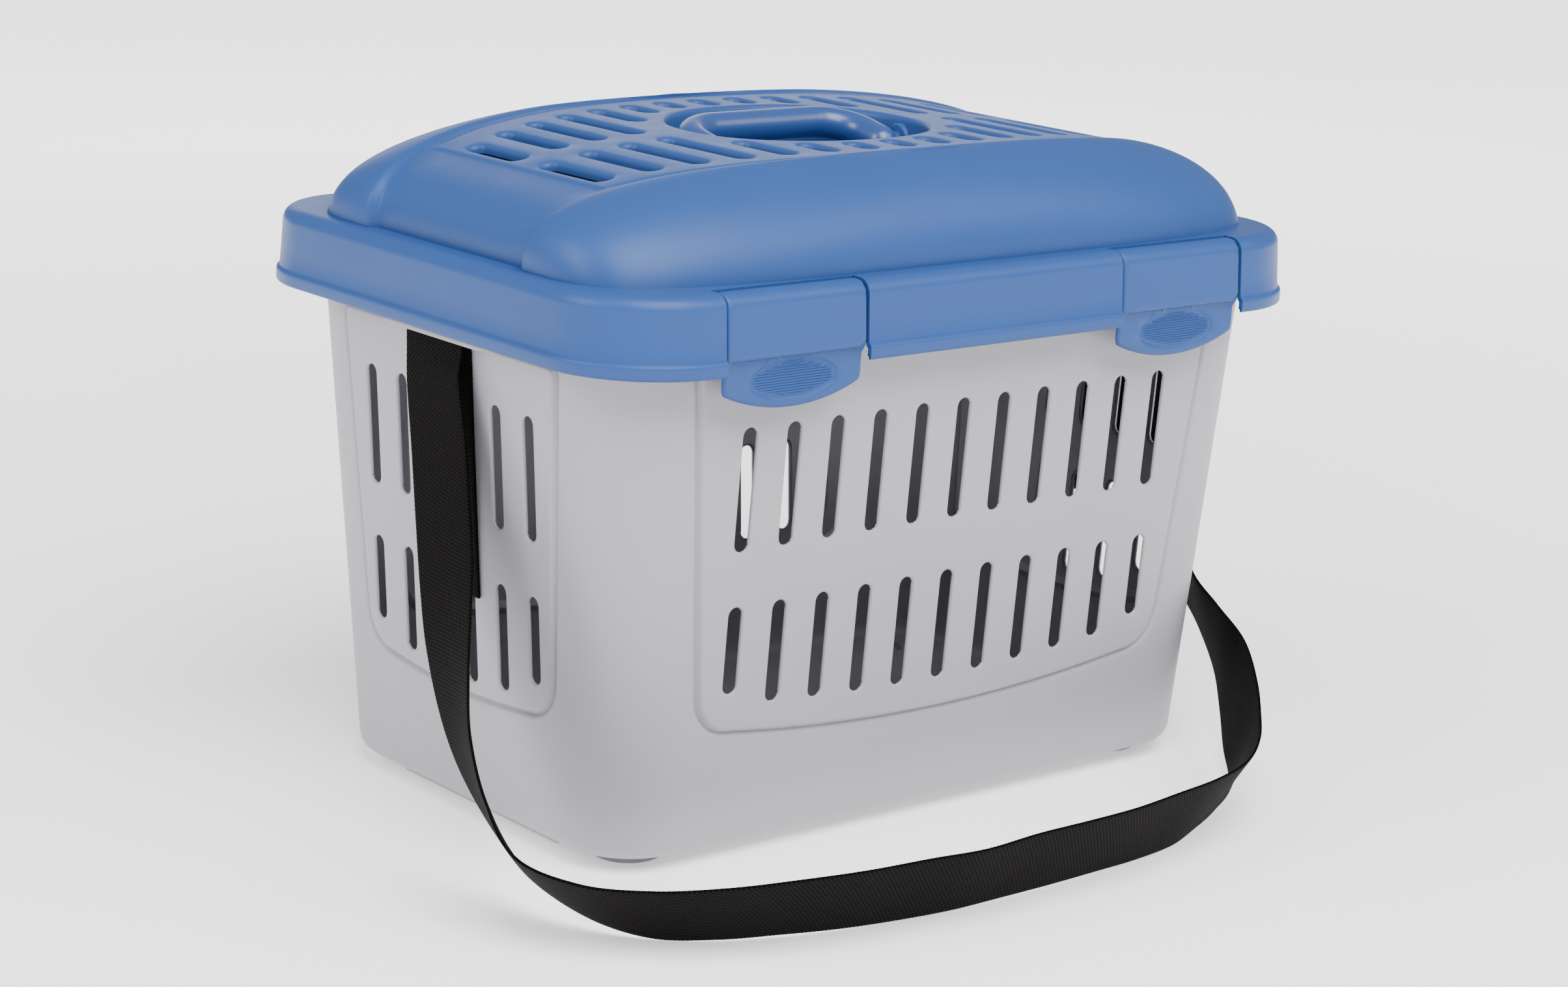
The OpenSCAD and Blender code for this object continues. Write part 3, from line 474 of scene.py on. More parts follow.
def push_slot_rims(bm, faces, axes, slots, by):
    """Carries the open edges round slots on by a vector; the slots lie along these two axes."""
    rims = [e for e in {e for f in faces for e in f.edges} if len(e.link_faces) == 1]
    middles = np.array([(e.verts[0].co + e.verts[1].co) / 2 for e in rims]) - (0, body_y, 0)
    near = nearest_slot(middles[:, axes], slots) < 0.5
    new = bmesh.ops.extrude_edge_only(bm, edges=[e for e, hit in zip(rims, near) if hit])
    for v in new["geom"]:
        if isinstance(v, bmesh.types.BMVert):
            v.co += Vector(by)


def thicken(bm, wall):
    """Gives an open sheet its wall, inwards; its faces are first turned out from its middle."""
    clean(bm)
    bmesh.ops.recalc_face_normals(bm, faces=bm.faces)
    middle = sum((v.co for v in bm.verts), Vector()) / len(bm.verts)
    if sum(f.normal.dot(f.calc_center_median() - middle) * f.calc_area() for f in bm.faces) < 0:
        bmesh.ops.reverse_faces(bm, faces=bm.faces[:])
    bmesh.ops.solidify(bm, geom=bm.faces[:], thickness=wall)


# ---------------- strap
# middle of the webbing, then the way its width points, as a turn and a rise in degrees
loose_run = [
    (-217, -6, 219, 2, 13), (-220, -16, 190, 0, 19), (-226, -29, 163, -1, 25),
    (-234, -45, 137, -1, 29), (-244, -63, 114, 4, 35), (-253, -82, 91, 15, 39),
    (-260, -103, 69, 30, 39), (-262, -125, 48, 42, 36), (-260, -150, 30, 48, 32),
    (-247, -177, 21, 43, 38), (-227, -200, 18, 36, 46), (-202, -218, 19, 30, 49),
    (-173, -230, 20, 23, 51), (-143, -238, 20, 18, 53), (-112, -243, 20, 12, 55),
    (-82, -247, 20, 8, 55), (-51, -248, 21, 4, 57), (-20, -248, 21, 0, 57),
    (11, -247, 21, -3, 57), (42, -244, 21, -7, 59), (73, -239, 21, -11, 59),
    (102, -228, 21, -13, 57), (129, -213, 22, -11, 61), (154, -195, 26, 2, 68),
    (173, -173, 35, 2, 65), (190, -150, 48, 17, 64), (202, -125, 61, 48, 60),
    (211, -99, 76, 58, 53), (223, -77, 94, 27, 54), (233, -56, 114, -16, 43),
    (239, -34, 136, -41, 28), (238, -18, 162, -49, 22), (230, -9, 191, -38, 18),
    (219, -5, 219, -18, 9)]
strap_at = bar_x + bar_d / 2 + web_fit + strap_t / 2
strap_route = np.array(
    [(-strap_at, body_y, bar_z, 0, 0), (-strap_at, body_y, bar_z - 6, 0, 0), (-strap_at, body_y, bar_z - 15, 0, 3)]
    + loose_run
    + [(strap_at, body_y, bar_z - 15, 0, 1), (strap_at, body_y, bar_z - 6, 0, 0), (strap_at, body_y, bar_z, 0, 0)],
    float)


def smooth_run(stations, parts):
    """A smooth curve through the stations, in the given number of parts between two."""
    last = len(stations) - 1
    out = []
    for k in range(last * parts + 1):
        i, t = divmod(k, parts)
        t /= parts
        p, q, r, s = (stations[max(0, min(last, i + j))] for j in (-1, 0, 1, 2))
        bend, twist = 2 * p - 5 * q + 4 * r - s, 3 * q - p - 3 * r + s
        out.append(0.5 * (2 * q + (r - p) * t + bend * t * t + twist * t ** 3))
    return np.array(out)


def even_run(run, step):
    """The same curve with stations at even distances."""
    gaps = np.linalg.norm(np.diff(run[:, :3], axis=0), axis=1)
    far = np.concatenate([[0], np.cumsum(gaps)])
    even = np.linspace(0, far[-1], round(far[-1] / step) + 1)
    return np.stack([np.interp(even, far, run[:, c]) for c in range(run.shape[1])], axis=1), even


# section of the webbing, as shares of half its width and of its thickness
webbing_section = both_halves([(1.0, 0.0), (0.985, 0.42), (0.93, 0.5), (0.5, 0.5), (0.0, 0.5), (-0.5, 0.5),
                               (-0.93, 0.5), (-0.985, 0.42)])


def webbing_piece(name, middle, across, far, node):
    """A flat run of webbing: eased section, slightly scalloped selvedges and a weave UV in millimetres."""
    bm = bmesh.new()
    way = unit(np.gradient(middle, axis=0))
    thick = unit(np.cross(way, across))
    wide = np.cross(thick, way)
    half = strap_w / 2
    rings = []
    for k in range(len(middle)):
        pull = scallop * (0.5 - 0.5 * math.cos(2 * math.pi * far[k] / weave_along))
        rings.append([middle[k] + wide[k] * u * (half - (pull if abs(u) > 0.9 else 0)) + thick[k] * v * strap_t
                      for u, v in webbing_section])
    rows = skin(bm, rings)
    bm.faces.new(rows[0][::-1])
    bm.faces.new(rows[-1])
    uv = bm.loops.layers.uv.new("weave")
    index = {v: (k, i) for k, row in enumerate(rows) for i, v in enumerate(row)}
    for face in bm.faces:
        for loop in face.loops:
            k, i = index[loop.vert]
            loop[uv].uv = (far[k], webbing_section[i][0] * half + weave_shift)
    bmesh.ops.recalc_face_normals(bm, faces=bm.faces)
    piece = as_object(name, bm, webbing, 70.0)
    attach(piece, "tub")
    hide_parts(node)
    return piece


def make_strap():
    run, far = even_run(smooth_run(strap_route, 16), 0.7)
    turn, rise = np.radians(run[:, 3]), np.radians(run[:, 4])
    across = np.stack([-np.sin(turn) * np.cos(rise), -np.cos(turn) * np.cos(rise), np.sin(rise)], axis=1)
    strap = webbing_piece("shoulder_strap", run[:, :3], across, far, "strap")
    tails = [make_tail(-1, "strap_tail_left", "strap_end_left"), make_tail(1, "strap_tail_right", "strap_end_right")]
    path = run[::12, :3]
    if np.linalg.norm(path[-1] - run[-1, :3]) > 0.01:
        path = np.vstack([path, run[-1, :3]])


def make_tail(side, name, node):
    """An end of the webbing: over its bar, in through the gap and down beside the wall."""
    tail_gap = panel_proud + wall_fit + strap_t / 2
    points = arc(bar_x, bar_z, bar_d / 2 + web_fit + strap_t / 2, range(0, 181, 12))
    start, top, low = points[-1], bracket_z - 3.6, bar_z - strap_tail
    for i in range(1, 8):
        t = i / 8
        points.append((start[0] + (wall_x(top) + tail_gap - start[0]) * ease(t), start[1] + (top - start[1]) * t))
    for i in range(25):
        z = top + (low - top) * i / 24
        points.append((wall_x(z) + tail_gap, z))
    run, far = even_run(np.array([(side * x, body_y, z) for x, z in points]), 0.7)
    return webbing_piece(name, run, np.tile((0.0, -1.0, 0.0), (len(run), 1)), far, node)


make_strap()


# ---------------- lid
def crest_at(x):
    """Half the depth of the grille field, where the shoulders begin."""
    return crest_half - (crest_half - end_half) * np.minimum(1.0, np.abs(x) / dome_a) ** bow_power


def well_loop(grow, n=96):
    """The well's mouth, a superellipse grown by a distance."""
    out = []
    for i in range(n):
        c, s = math.cos(2 * math.pi * i / n), math.sin(2 * math.pi * i / n)
        out.append(((well_half_x + grow) * math.copysign(abs(c) ** (2 / well_power), c),
                    (well_half_y + grow) * math.copysign(abs(s) ** (2 / well_power), s)))
    return out


def well_reach(x):
    """How far the well and its rim reach front and back at x."""
    a, b = well_half_x + well_rim, well_half_y + well_rim
    return 0.0 if x >= a else b * (1 - (x / a) ** well_power) ** (1 / well_power)


def grille_slots():
    """Slots front and rear of the middle band, cut short by the well and by the crest."""
    slots = []
    for k in range(-grille_half, grille_half + 1):
        x = abs(k) * grille_pitch
        edge = float(crest_at(x)) - grille_margin
        share = (k / grille_half) ** 2
        front, rear = edge - 2.0 * share, edge - 10.0 * share
        low = max(well_reach(max(0.0, x - 4.75)), band_half)
        if front - low > grille_least:
            slots.append((k * grille_pitch, -front, -low, grille_w))
        if rear - low > grille_least:
            slots.append((k * grille_pitch, low, rear, grille_w))
    return slots


# distance over the dome, from the middle: level with x as far as the grille goes, then along the curve
field_reach = 172.0
fine = np.linspace(0.0, math.pi / 2, 6001)
fine_x = (dome_a * np.cos(fine) ** (2 / end_power))[::-1]
fine_h = (np.sin(fine) ** (2 / end_power))[::-1]
fine_step = np.hypot(np.diff(fine_x), np.diff(fine_h) * dome_h)
fine_s = np.concatenate([[0.0], np.cumsum(np.where(fine_x[1:] <= field_reach, np.diff(fine_x), fine_step))])
dome_far = float(fine_s[-1])
dome_stations = np.concatenate([np.linspace(0, field_reach, 26), np.linspace(field_reach, dome_far, 22)[1:]])


def dome_x(s):
    return np.sign(s) * np.interp(np.abs(s), fine_s, fine_x)


def dome_share(s):
    return np.interp(np.abs(s), fine_s, fine_h)


def shoulder_rows():
    """Level lines of one shoulder, from the grille field's edge round to the middle of the front."""
    rows = []
    crest_angle = math.radians(75)
    for s in dome_stations:
        x, h = float(dome_x(s)), float(dome_share(s))
        z = flange_z + dome_h * h
        up = shoulder_step * h ** (end_power / 2)
        out = shoulder_out * (x / dome_a) ** (end_power / 2)
        edge = float(crest_at(x))
        phi = math.asin(min(1.0, h) * math.sin(crest_angle))
        b = crest_half + (dome_b - crest_half) * (math.cos(phi) - math.cos(crest_angle)) / (1 - math.cos(crest_angle))
        n = foot_power + (top_power - foot_power) * h
        ramp = min(shoulder_ramp, 0.4 * (b - edge))
        row = [(x + out * ease(w), edge + ramp * w, z + up * ease(w))
               for w in (0.0, 0.12, 0.25, 0.4, 0.55, 0.7, 0.85, 1.0)]
        for i in range(1, 29):
            t = math.radians(90 * i / 28)
            c = math.cos(t) if i < 28 else 0.0
            row.append(((x + out) * c ** (2 / n), edge + ramp + (b - edge - ramp) * math.sin(t) ** (2 / n), z + up))
        rows.append(row)
    return rows


def skirt_loop(inset, z):
    """A ring of the skirt, with corners where the latch notches end."""
    a, b, r = lid_a - inset, lid_b - inset, lid_r - inset
    side = [(a, y) for y in np.linspace(-(b - r), b - r, 9)]
    corner = arc(a - r, b - r, r, quarter_turn[1:-1])
    cuts = [latch_x + notch_w / 2, latch_x - notch_w / 2]
    stations = (a - r, *cuts, 60.0, 40.0, 20.0, 0.0, -20.0, -40.0, -60.0, -cuts[1], -cuts[0], -(a - r))
    front = [(x, b) for x in stations]
    return [(x, y, z) for x, y in both_halves(side + corner + front + [(-x, y) for x, y in corner[::-1]])]


def in_notch(p):
    return p[1] < latch_y - 0.01 and abs(abs(p[0]) - latch_x) < notch_w / 2 - 0.5


end_stations = np.linspace(-end_half, end_half, 13)


def crest_room(p):
    """Distance front or back to the crest, positive on the grille field."""
    return crest_at(dome_x(p[:, 0])) - np.abs(p[:, 1])


def well_room(p):
    """Distance from the well's mouth, positive outside it."""
    return -line_distance(p, well_loop(0.0))


def mirrored(offsets, stations, spot):
    """Points beside a line and beside its mirror image, at these distances and stations."""
    return np.array([spot(side, off, at) for side in (-1, 1) for off in offsets for at in stations])


def add_field(bm, slots):
    """The grille field and both end faces: lips round slots and well, a step at the plateau, a ridge groove."""
    crest = [(s, float(crest_at(dome_x(s)))) for s in dome_stations]
    outline = both_halves([(dome_far, y) for y in end_stations] + crest[-2::-1] + [(-s, y) for s, y in crest[1:-1]])
    loops = [slot_loop(s, g) for s in slots for g in (0.0, 0.25, 0.8, 1.7, slot_lip)]
    loops += [well_loop(g) for g in (0.0, 0.3, 0.9, 1.8, well_lip, 4.0)]
    columns = np.concatenate([-dome_stations[:0:-1], dome_stations])
    grid = np.array([(s, y) for s in columns for y in np.arange(-96, 97, 8.0)])
    across = mirrored((-2.4, -1.6, -0.9, -0.3, 0.3, 0.9, 1.6, 2.4), np.arange(-66, 67, 4.0),
                      lambda side, off, y: (side * (plateau_x + off), y))
    across = across[crest_room(across) > 0.8]
    ridge = mirrored((1.0, 2.0, ridge_in, 3.6, 4.4, 5.4), np.arange(-168, 169, 4.0),
                     lambda side, off, s: (s, side * (float(crest_at(dome_x(s))) - off)))
    reach = np.abs(grid[:, 0])
    grid = grid[(crest_room(grid) > 6.5) & (nearest_slot(grid, slots) > slot_lip + 1.0) & (well_room(grid) > 5.0)
                & (reach < dome_far - 1) & (np.abs(reach - plateau_x) > 3.5)]
    corners, faces = plate(outline, loops, np.vstack([grid, across, ridge]),
                           lambda p: (nearest_slot(p, slots) > 0) & (well_room(p) > 0) & (crest_room(p) > -0.01))
    edge, reach = crest_room(corners), np.abs(corners[:, 0])
    drop = rolled(nearest_slot(corners, slots), slot_lip) + rolled(well_room(corners), well_lip)
    drop += plateau_step * smooth(plateau_x - 1.2, plateau_x + 1.2, reach) \
        * (1 - smooth(plateau_x + 4, plateau_x + 26, reach)) * smooth(0.0, 4.0, edge)
    drop += ridge_deep * np.exp(-((edge - ridge_in) / ridge_w) ** 2) * (1 - smooth(plateau_x - 6, plateau_x, reach))
    high = flange_z + dome_h * dome_share(corners[:, 0]) - drop
    made = sheet(bm, zip(dome_x(corners[:, 0]), corners[:, 1] + body_y, high), faces)
    push_slot_rims(bm, made, [0, 1], slots, (0, 0, -slot_throat))


def add_well(bm):
    """The well's bowl, as how far in from its mouth and how far down from the dome's top."""
    bowl = [(0.3, -6.0), (1.2, -14.0), (3.0, -23.0), (4.6, -28.5), (7.0, -33.0), (10.0, -35.3), (14.0, -well_deep),
            (30.0, -well_deep), (54.0, -well_deep)]
    rings = [[(x, y + body_y, flange_z + dome_h * float(dome_share(x)) - well_lip) for x, y in well_loop(0.0)]]
    rings += [[(x, y + body_y, dome_top + down) for x, y in well_loop(-shrink)] for shrink, down in bowl]
    bm.faces.new(skin(bm, rings)[-1])


def add_flange(bm, foot):
    """The flat ring between the dome's foot and the skirt, cut back where the latches' barrels turn."""
    quarter = [(x, y) for x, y, _ in foot]
    half = [(dome_a, y) for y in end_stations[1:-1]] + quarter + [(-x, y) for x, y in quarter[-2::-1]]
    inner = [(x, y + body_y) for x, y in both_halves(half)]
    outer = []
    brim = [(x, y) for x, y, _ in skirt_loop(skirt_inset + skirt_edge, flange_z)]
    for a, b in zip(brim, brim[1:] + brim[:1]):
        outer.append(a)
        if in_notch(((a[0] + b[0]) / 2, (a[1] + b[1]) / 2 - 0.1)):
            outer += [(a[0], a[1] + barrel_room), (b[0], b[1] + barrel_room)]
    corners, faces = plate(outer, [inner], [], lambda p: (line_distance(p, inner) < 0) & (line_distance(p, outer) > 0))
    sheet(bm, [(x, y, flange_z) for x, y in corners], faces)


def add_skirt(bm):
    """The skirt with its rounded upper edge and the lip along its foot, left out at the latch notches."""
    turn = [math.radians(a) for a in (90, 78, 66, 54, 42, 30, 18, 8, 0)]
    steps = [(skirt_inset + skirt_edge * (1 - math.cos(a)), latch_z + skirt_edge * math.sin(a)) for a in turn]
    steps += [(lip_out + 0.7, 262.0), (lip_out + 0.15, lip_top + 2.0), (lip_out - 0.15, lip_top + 1.0),
              (lip_out - 0.8, lip_top + 0.5), (0.35, lip_top + 0.1), (0.1, lip_top - 0.5), (0.0, lip_top - 1.4),
              (0.0, lid_bottom + 1.2), (0.3, lid_bottom + 0.5), (0.9, lid_bottom + 0.1), (1.4, lid_bottom)]
    skin(bm, [skirt_loop(inset, z) for inset, z in steps], leave_out=in_notch)


def add_lid_fittings(bm, side):
    """Under the skin on one side: latch cheeks, a hinge knuckle, a handle boss and the ledge under its arm."""
    for end in (-1, 1):
        x = side * latch_x + end * (notch_w / 2 + 1.9)
        rod(bm, (x - 1.6, latch_y, latch_z), (x + 1.6, latch_y, latch_z), 6.0, 40, 0.4)
    left, right = side * hinge_x - knuckle_half, side * hinge_x + knuckle_half
    rod(bm, (left, hinge_y, hinge_z), (right, hinge_y, hinge_z), knuckle_r, 40, 0.5)
    block(bm, (left, hinge_y - 4.2, hinge_z), (right, hinge_y + 4.2, flange_z - 1.0), 0.4)
    rod(bm, (side * boss_in, pivot_y, pivot_z), (side * boss_out, pivot_y, pivot_z), boss_r, 48, 1.2)
    ledge_top = pivot_z + ledge_near * math.tan(grip_tilt) - arm_r / math.cos(grip_tilt) - 0.3
    left, right = sorted((side * ledge_in, side * ledge_out))
    block(bm, (left, pivot_y + ledge_near, well_floor - 1), (right, pivot_y + ledge_far, ledge_top), 1.0)


def make_lid():
    bm = bmesh.new()
    rows = shoulder_rows()
    add_field(bm, grille_slots())
    add_well(bm)
    for sx, sy in ((1, 1), (1, -1), (-1, 1), (-1, -1)):
        skin(bm, [[(sx * x, sy * y + body_y, z) for x, y, z in row] for row in rows], loop=False)
    add_flange(bm, rows[-1])
    add_skirt(bm)
    thicken(bm, lid_wall)
    for side in (-1, 1):
        add_lid_fittings(bm, side)
    finish_piece("lid_shell", bm, blue_satin, "lid", ["lid"], outward=False)


make_lid()


# ---------------- handle
def make_handle():
    """A round bail with domed arm ends on stub axles, laid down at its rest tilt."""
    bm = bmesh.new()
    bend_x, bend_y = grip_span - grip_bend, grip_reach - grip_bend
    path = [(grip_span, -0.1), (grip_span, 4.0), (grip_span, 10.0), (grip_span, bend_y)]
    path += arc(bend_x, bend_y, grip_bend, range(6, 91, 6))
    path += [(bend_x - 13.0, grip_reach), (0.0, grip_reach)]
    path = np.array(path + [(-x, y) for x, y in path[-2::-1]])
    way = unit(np.gradient(path, axis=0))

    def ring(p, d, size):
        side = Vector((d[1], -d[0], 0))
        return [Vector((p[0], p[1], 0)) + side * size * math.cos(a) + Vector((0, 0, size * math.sin(a)))
                for a in np.linspace(0, 2 * math.pi, 33)[:-1]]

    domed = [math.radians(a) for a in (14, 28, 42, 56, 70, 84)]
    rings = [ring(path[0] - way[0] * (grip_r * math.sin(a)), way[0], grip_r * math.cos(a)) for a in domed[::-1]]
    rings += [ring(p, d, grip_r) for p, d in zip(path, way)]
    rings += [ring(path[-1] + way[-1] * (grip_r * math.sin(a)), way[-1], grip_r * math.cos(a)) for a in domed]
    rows = skin(bm, rings)
    bm.faces.new(rows[0])
    bm.faces.new(rows[-1])
    for side in (-1, 1):
        rod(bm, (side * (grip_span + 2), 0, 0), (side * axle_end, 0, 0), axle_r, 32, 0.5)
    turn = Matrix.Translation((0, pivot_y, pivot_z)) @ Matrix.Rotation(grip_tilt, 4, "X")
    bmesh.ops.transform(bm, matrix=turn, verts=bm.verts)
    finish_piece("carry_handle", bm, blue_gloss, "handle", ["handle"])


make_handle()


# ---------------- latches
def latch_line():
    """Section of the latch's outer face, from behind the top of its barrel to the foot of its finger tab."""
    line = arc(latch_y, latch_z, -barrel_r, range(-174, 1, 6))
    line += [(-158.2, 270.0), (-158.75, 262.0), (-159.25, 255.0), (-159.4, 252.9), (-159.3, 252.0), (-158.8, 251.4),
             (-157.6, 250.9), (-156.7, 250.4), (-156.4, 249.6), (-156.35, 248.5), (-156.2, 242.0), (-156.0, 234.0),
             (-155.8, tab_low)]
    return np.array(line)


def latch_outline(half, at_height):
    """The latch laid flat, across and down its section: straight sides and a bowed foot with round corners."""
    bow_r, inside = (half * half + tab_bow * tab_bow) / (2 * tab_bow), half - tab_corner

    def foot_z(u):
        return tab_low + bow_r - math.sqrt(bow_r * bow_r - u * u)

    foot = [(u, at_height(foot_z(u))) for u in (inside * i / 15 for i in range(-15, 16))]
    right = [(half - off, at_height(foot_z(inside) + lift)) for off, lift in ((1.2, 0.9), (0.3, 2.4), (0.0, 4.5))]
    up = [(half, s) for s in np.linspace(right[-1][1], 0.0, 14)[1:]]
    top = [(u, 0.0) for u in np.linspace(half, -half, 14)[1:-1]]
    left = [(-u, s) for u, s in up[::-1] + right[::-1]]
    return (foot + right + up + top + left)[::-1]


def make_latch(x, name):
    """A latch: barrel, face and finger tab in one wall, a ribbed oval on the tab, and the hook behind it."""
    bm = bmesh.new()
    line = latch_line()
    far = np.concatenate([[0], np.cumsum(np.linalg.norm(np.diff(line, axis=0), axis=1))])
    half = latch_w / 2
    turned = int(np.argmin(line[:, 0] > latch_y - barrel_r + 0.001))

    def at_height(z):
        return float(np.interp(-z, -line[turned:, 1], far[turned:]))

    def on_line(s):
        return np.stack([np.interp(s, far, line[:, 0]), np.interp(s, far, line[:, 1])])

    middle, rib = at_height(oval_z), oval_run / oval_ribs

    def oval(grow):
        return [((oval_half + grow) * math.cos(a), middle + (oval_rise + grow) * math.sin(a))
                for a in np.linspace(0, 2 * math.pi, 65)[:-1]]

    outline, inner = latch_outline(half, at_height), oval(0.0)
    loops = [offset_loop(outline, -g) for g in (0.25, 0.7, 1.4, 2.2)] + [oval(g) for g in (-1.6, -0.9, -0.3, 0.3, 0.9)]
    seeds = np.array([(u, s) for s in far[1:-1] for u in np.arange(-36, 37, 4.0)])
    seeds = seeds[(line_distance(seeds, outline) > 3.0) & (line_distance(seeds, inner) < -1.6)]
    rib_rows = np.arange(-oval_run / 2, oval_run / 2 + 0.01, rib / 6)
    ribs = np.array([(u, middle + v) for v in rib_rows for u in np.arange(-24, 25, 2.0)])
    ribs = ribs[line_distance(ribs, inner) > 1.9]
    corners, faces = plate(outline, loops, np.vstack([seeds, ribs]), lambda p: line_distance(p, outline) > 0)
    u, s = corners[:, 0], corners[:, 1]
    from_oval = line_distance(corners, inner)
    from_edge = np.where(s < 2.5, half - np.abs(u), line_distance(corners, outline))
    back = rolled(from_edge, 1.6) + 0.75 * smooth(-0.6, 0.9, from_oval)
    back -= 0.25 * np.exp(-((from_oval + 0.9) / 0.5) ** 2)
    wave = 0.5 + 0.5 * np.cos(2 * np.pi * (s - middle) / rib)
    back -= 0.55 * wave * smooth(1.0, 2.2, from_oval)
    (y, z), (dy, dz) = on_line(s), on_line(s + 0.4) - on_line(s - 0.4)
    size = np.hypot(dy, dz)
    sheet(bm, zip(u + x, y + back * -dz / size, z + back * dy / size), faces)
    thicken(bm, latch_wall)
    rod(bm, (x - half + 1.2, latch_y, latch_z), (x + half - 1.2, latch_y, latch_z), 4.3, 32, 0.3)
    block(bm, (x - 34, latch_y - 5.6, latch_z - 3), (x + 34, latch_y - 1, latch_z + 3), 0.5)
    block(bm, (x - hook_half, hook_front, hook_low), (x + hook_half, hook_back, hook_high), 0.7)
    finish_piece(name, bm, blue_satin, name, [name], outward=False)


make_latch(-latch_x, "latch_left")
make_latch(latch_x, "latch_right")


# ---------------- tub
tub_levels = [foot_h + tub_edge] + list(np.linspace(28, 268, 13)) + [tub_top]
ring_stations = list(np.linspace(1, -1, 13)[1:-1])


def wall_outline(half_low):
    """Flat part of a wall: its sides lean out a little less than the corners grow."""
    lean = tub_lean - tub_corner_lean
    low, high = tub_levels[0], tub_levels[-1]

    def reach(z):
        return half_low - tub_corner + lean * z

    bottom = [(u * reach(low), low) for u in np.linspace(-1, 1, 13)]
    top = [(u * reach(high), high) for u in np.linspace(1, -1, 13)]
    return bottom + [(reach(z), z) for z in tub_levels[1:-1]] + top + [(-reach(z), z) for z in tub_levels[-2:0:-1]]


def panel_outline(half, low, bow, flare, top, r=20.0):
    """A raised panel: bowed foot, round lower corners and sides that flare out towards its top."""
    side = low + bow + r
    wide = half + (top - side) * flare
    turn = [math.radians(90 * i / 10) for i in range(11)]
    out = [(-half + r - r * math.cos(t), side - r * math.sin(t)) for t in turn]
    out += [((half - r) * i / 9, low + bow * (i / 9) ** 2) for i in range(-8, 9)]
    out += [(half - r + r * math.sin(t), side - r * math.cos(t)) for t in turn]
    right = [(half + (z - side) * flare, z) for z in np.linspace(side, top - 4, 12)[1:]]
    right += [(wide - 1.2, top - 1.0), (wide - 4, top)]
    return out + right + [(-x, z) for x, z in right[::-1]]


def make_wall(half_low, slots, panel):
    """A wall as corners (along, height), its faces, and how far each corner stands out of its plane."""
    outline = wall_outline(half_low)
    loops = [slot_loop(s, g, 15.0) for s in slots for g in (0.0, 0.12, 0.4, 0.8, vent_lip)]
    loops += [offset_loop(panel, g) for g in (4.4, 3.4, 2.7, 2.1, 1.5, 0.9, 0.4, -0.1, -0.7, -1.4, -2.2)]
    grid = np.array([(u, z) for u in np.arange(-190, 191, 11.0) for z in np.arange(22, 278, 11.0)])
    grid = grid[(line_distance(grid, outline) > 5) & (nearest_slot(grid, slots) > vent_lip + 3.0)
                & (np.abs(line_distance(grid, panel)) > 5.0)]
    corners, faces = plate(outline, loops, grid,
                           lambda p: (nearest_slot(p, slots) > 0) & (line_distance(p, outline) > 0))
    d = line_distance(corners, panel)
    out = panel_proud * smooth(-0.9, 1.5, d) - groove_deep * np.exp(-((d + 1.6) / 1.15) ** 2)
    out -= rolled(nearest_slot(corners, slots), vent_lip)
    return corners, faces, out


def vent_slots(last, pitch):
    """Two rows of slots; the lower row starts on a bow and a little higher at both ends."""
    slots = []
    for k in np.arange(-last, last + 0.5):
        u = abs(k) / last
        low = vent_down_low + vent_bow * u * u + (vent_corner_lift if u > 0.99 else 0.0)
        slots += [(k * pitch, vent_up_low, vent_up_high, vent_w), (k * pitch, low, vent_down_high, vent_w)]
    return slots


def add_walls(bm, long, slots, panel):
    """Two facing walls with the throats of their slots."""
    half, wall = (tub_a, tub_b) if long else (tub_b, tub_a)
    corners, faces, out = make_wall(half, slots, panel)
    depth = wall + tub_lean * corners[:, 1] + out
    for side in (1, -1):
        if long:
            spots = [(side * u, -side * d + body_y, z) for (u, z), d in zip(corners, depth)]
            push_slot_rims(bm, sheet(bm, spots, faces), [0, 2], slots, (0, side * vent_throat, 0))
        else:
            spots = [(side * d, side * u + body_y, z) for (u, z), d in zip(corners, depth)]
            push_slot_rims(bm, sheet(bm, spots, faces), [1, 2], slots, (-side * vent_throat, 0, 0))


def rounded_loop(a, b, r, z):
    """A ring of the tub with the walls' own stations."""
    out = []
    for q, (sx, sy) in enumerate(corner_signs):
        out += arc(sx * (a - r), sy * (b - r), r, [90 * (q + i / 14) for i in range(15)])
        if q in (0, 2):
            out += [(sy * u * (a - r), sy * b) for u in ring_stations]
        else:
            out += [(sx * a, sy * u * (b - r)) for u in ring_stations]
    return [(x, y + body_y, z) for x, y in out]


def flange_loop(half, front, back, r, z):
    """A ring of the rim flange, which has its own front and back."""
    ring = rounded_loop(half, (back - front) / 2, r, z)
    return [(x, y - body_y + (front + back) / 2, z) for x, y, z in ring]


def add_corners_and_foot(bm):
    for sx, sy in corner_signs:
        rows = []
        for z in tub_levels:
            r = tub_corner + tub_corner_lean * z
            corner = arc(wall_x(z) - r, wall_y(z) - r, r, quarter_turn)
            rows.append([(sx * x, sy * y + body_y, z) for x, y in corner])
        skin(bm, rows, loop=False)
    rings = []
    for deg in (90, 78, 66, 54, 42, 30, 18, 6, 0):
        inset = tub_edge * (1 - math.sin(math.radians(deg)))
        z = foot_h + tub_edge * (1 - math.cos(math.radians(deg)))
        at = tub_levels[0] if deg == 90 else z
        r = tub_corner + tub_corner_lean * at - inset
        rings.append(rounded_loop(wall_x(at) - inset, wall_y(at) - inset, r, z))
    bm.faces.new(skin(bm, rings)[-1])


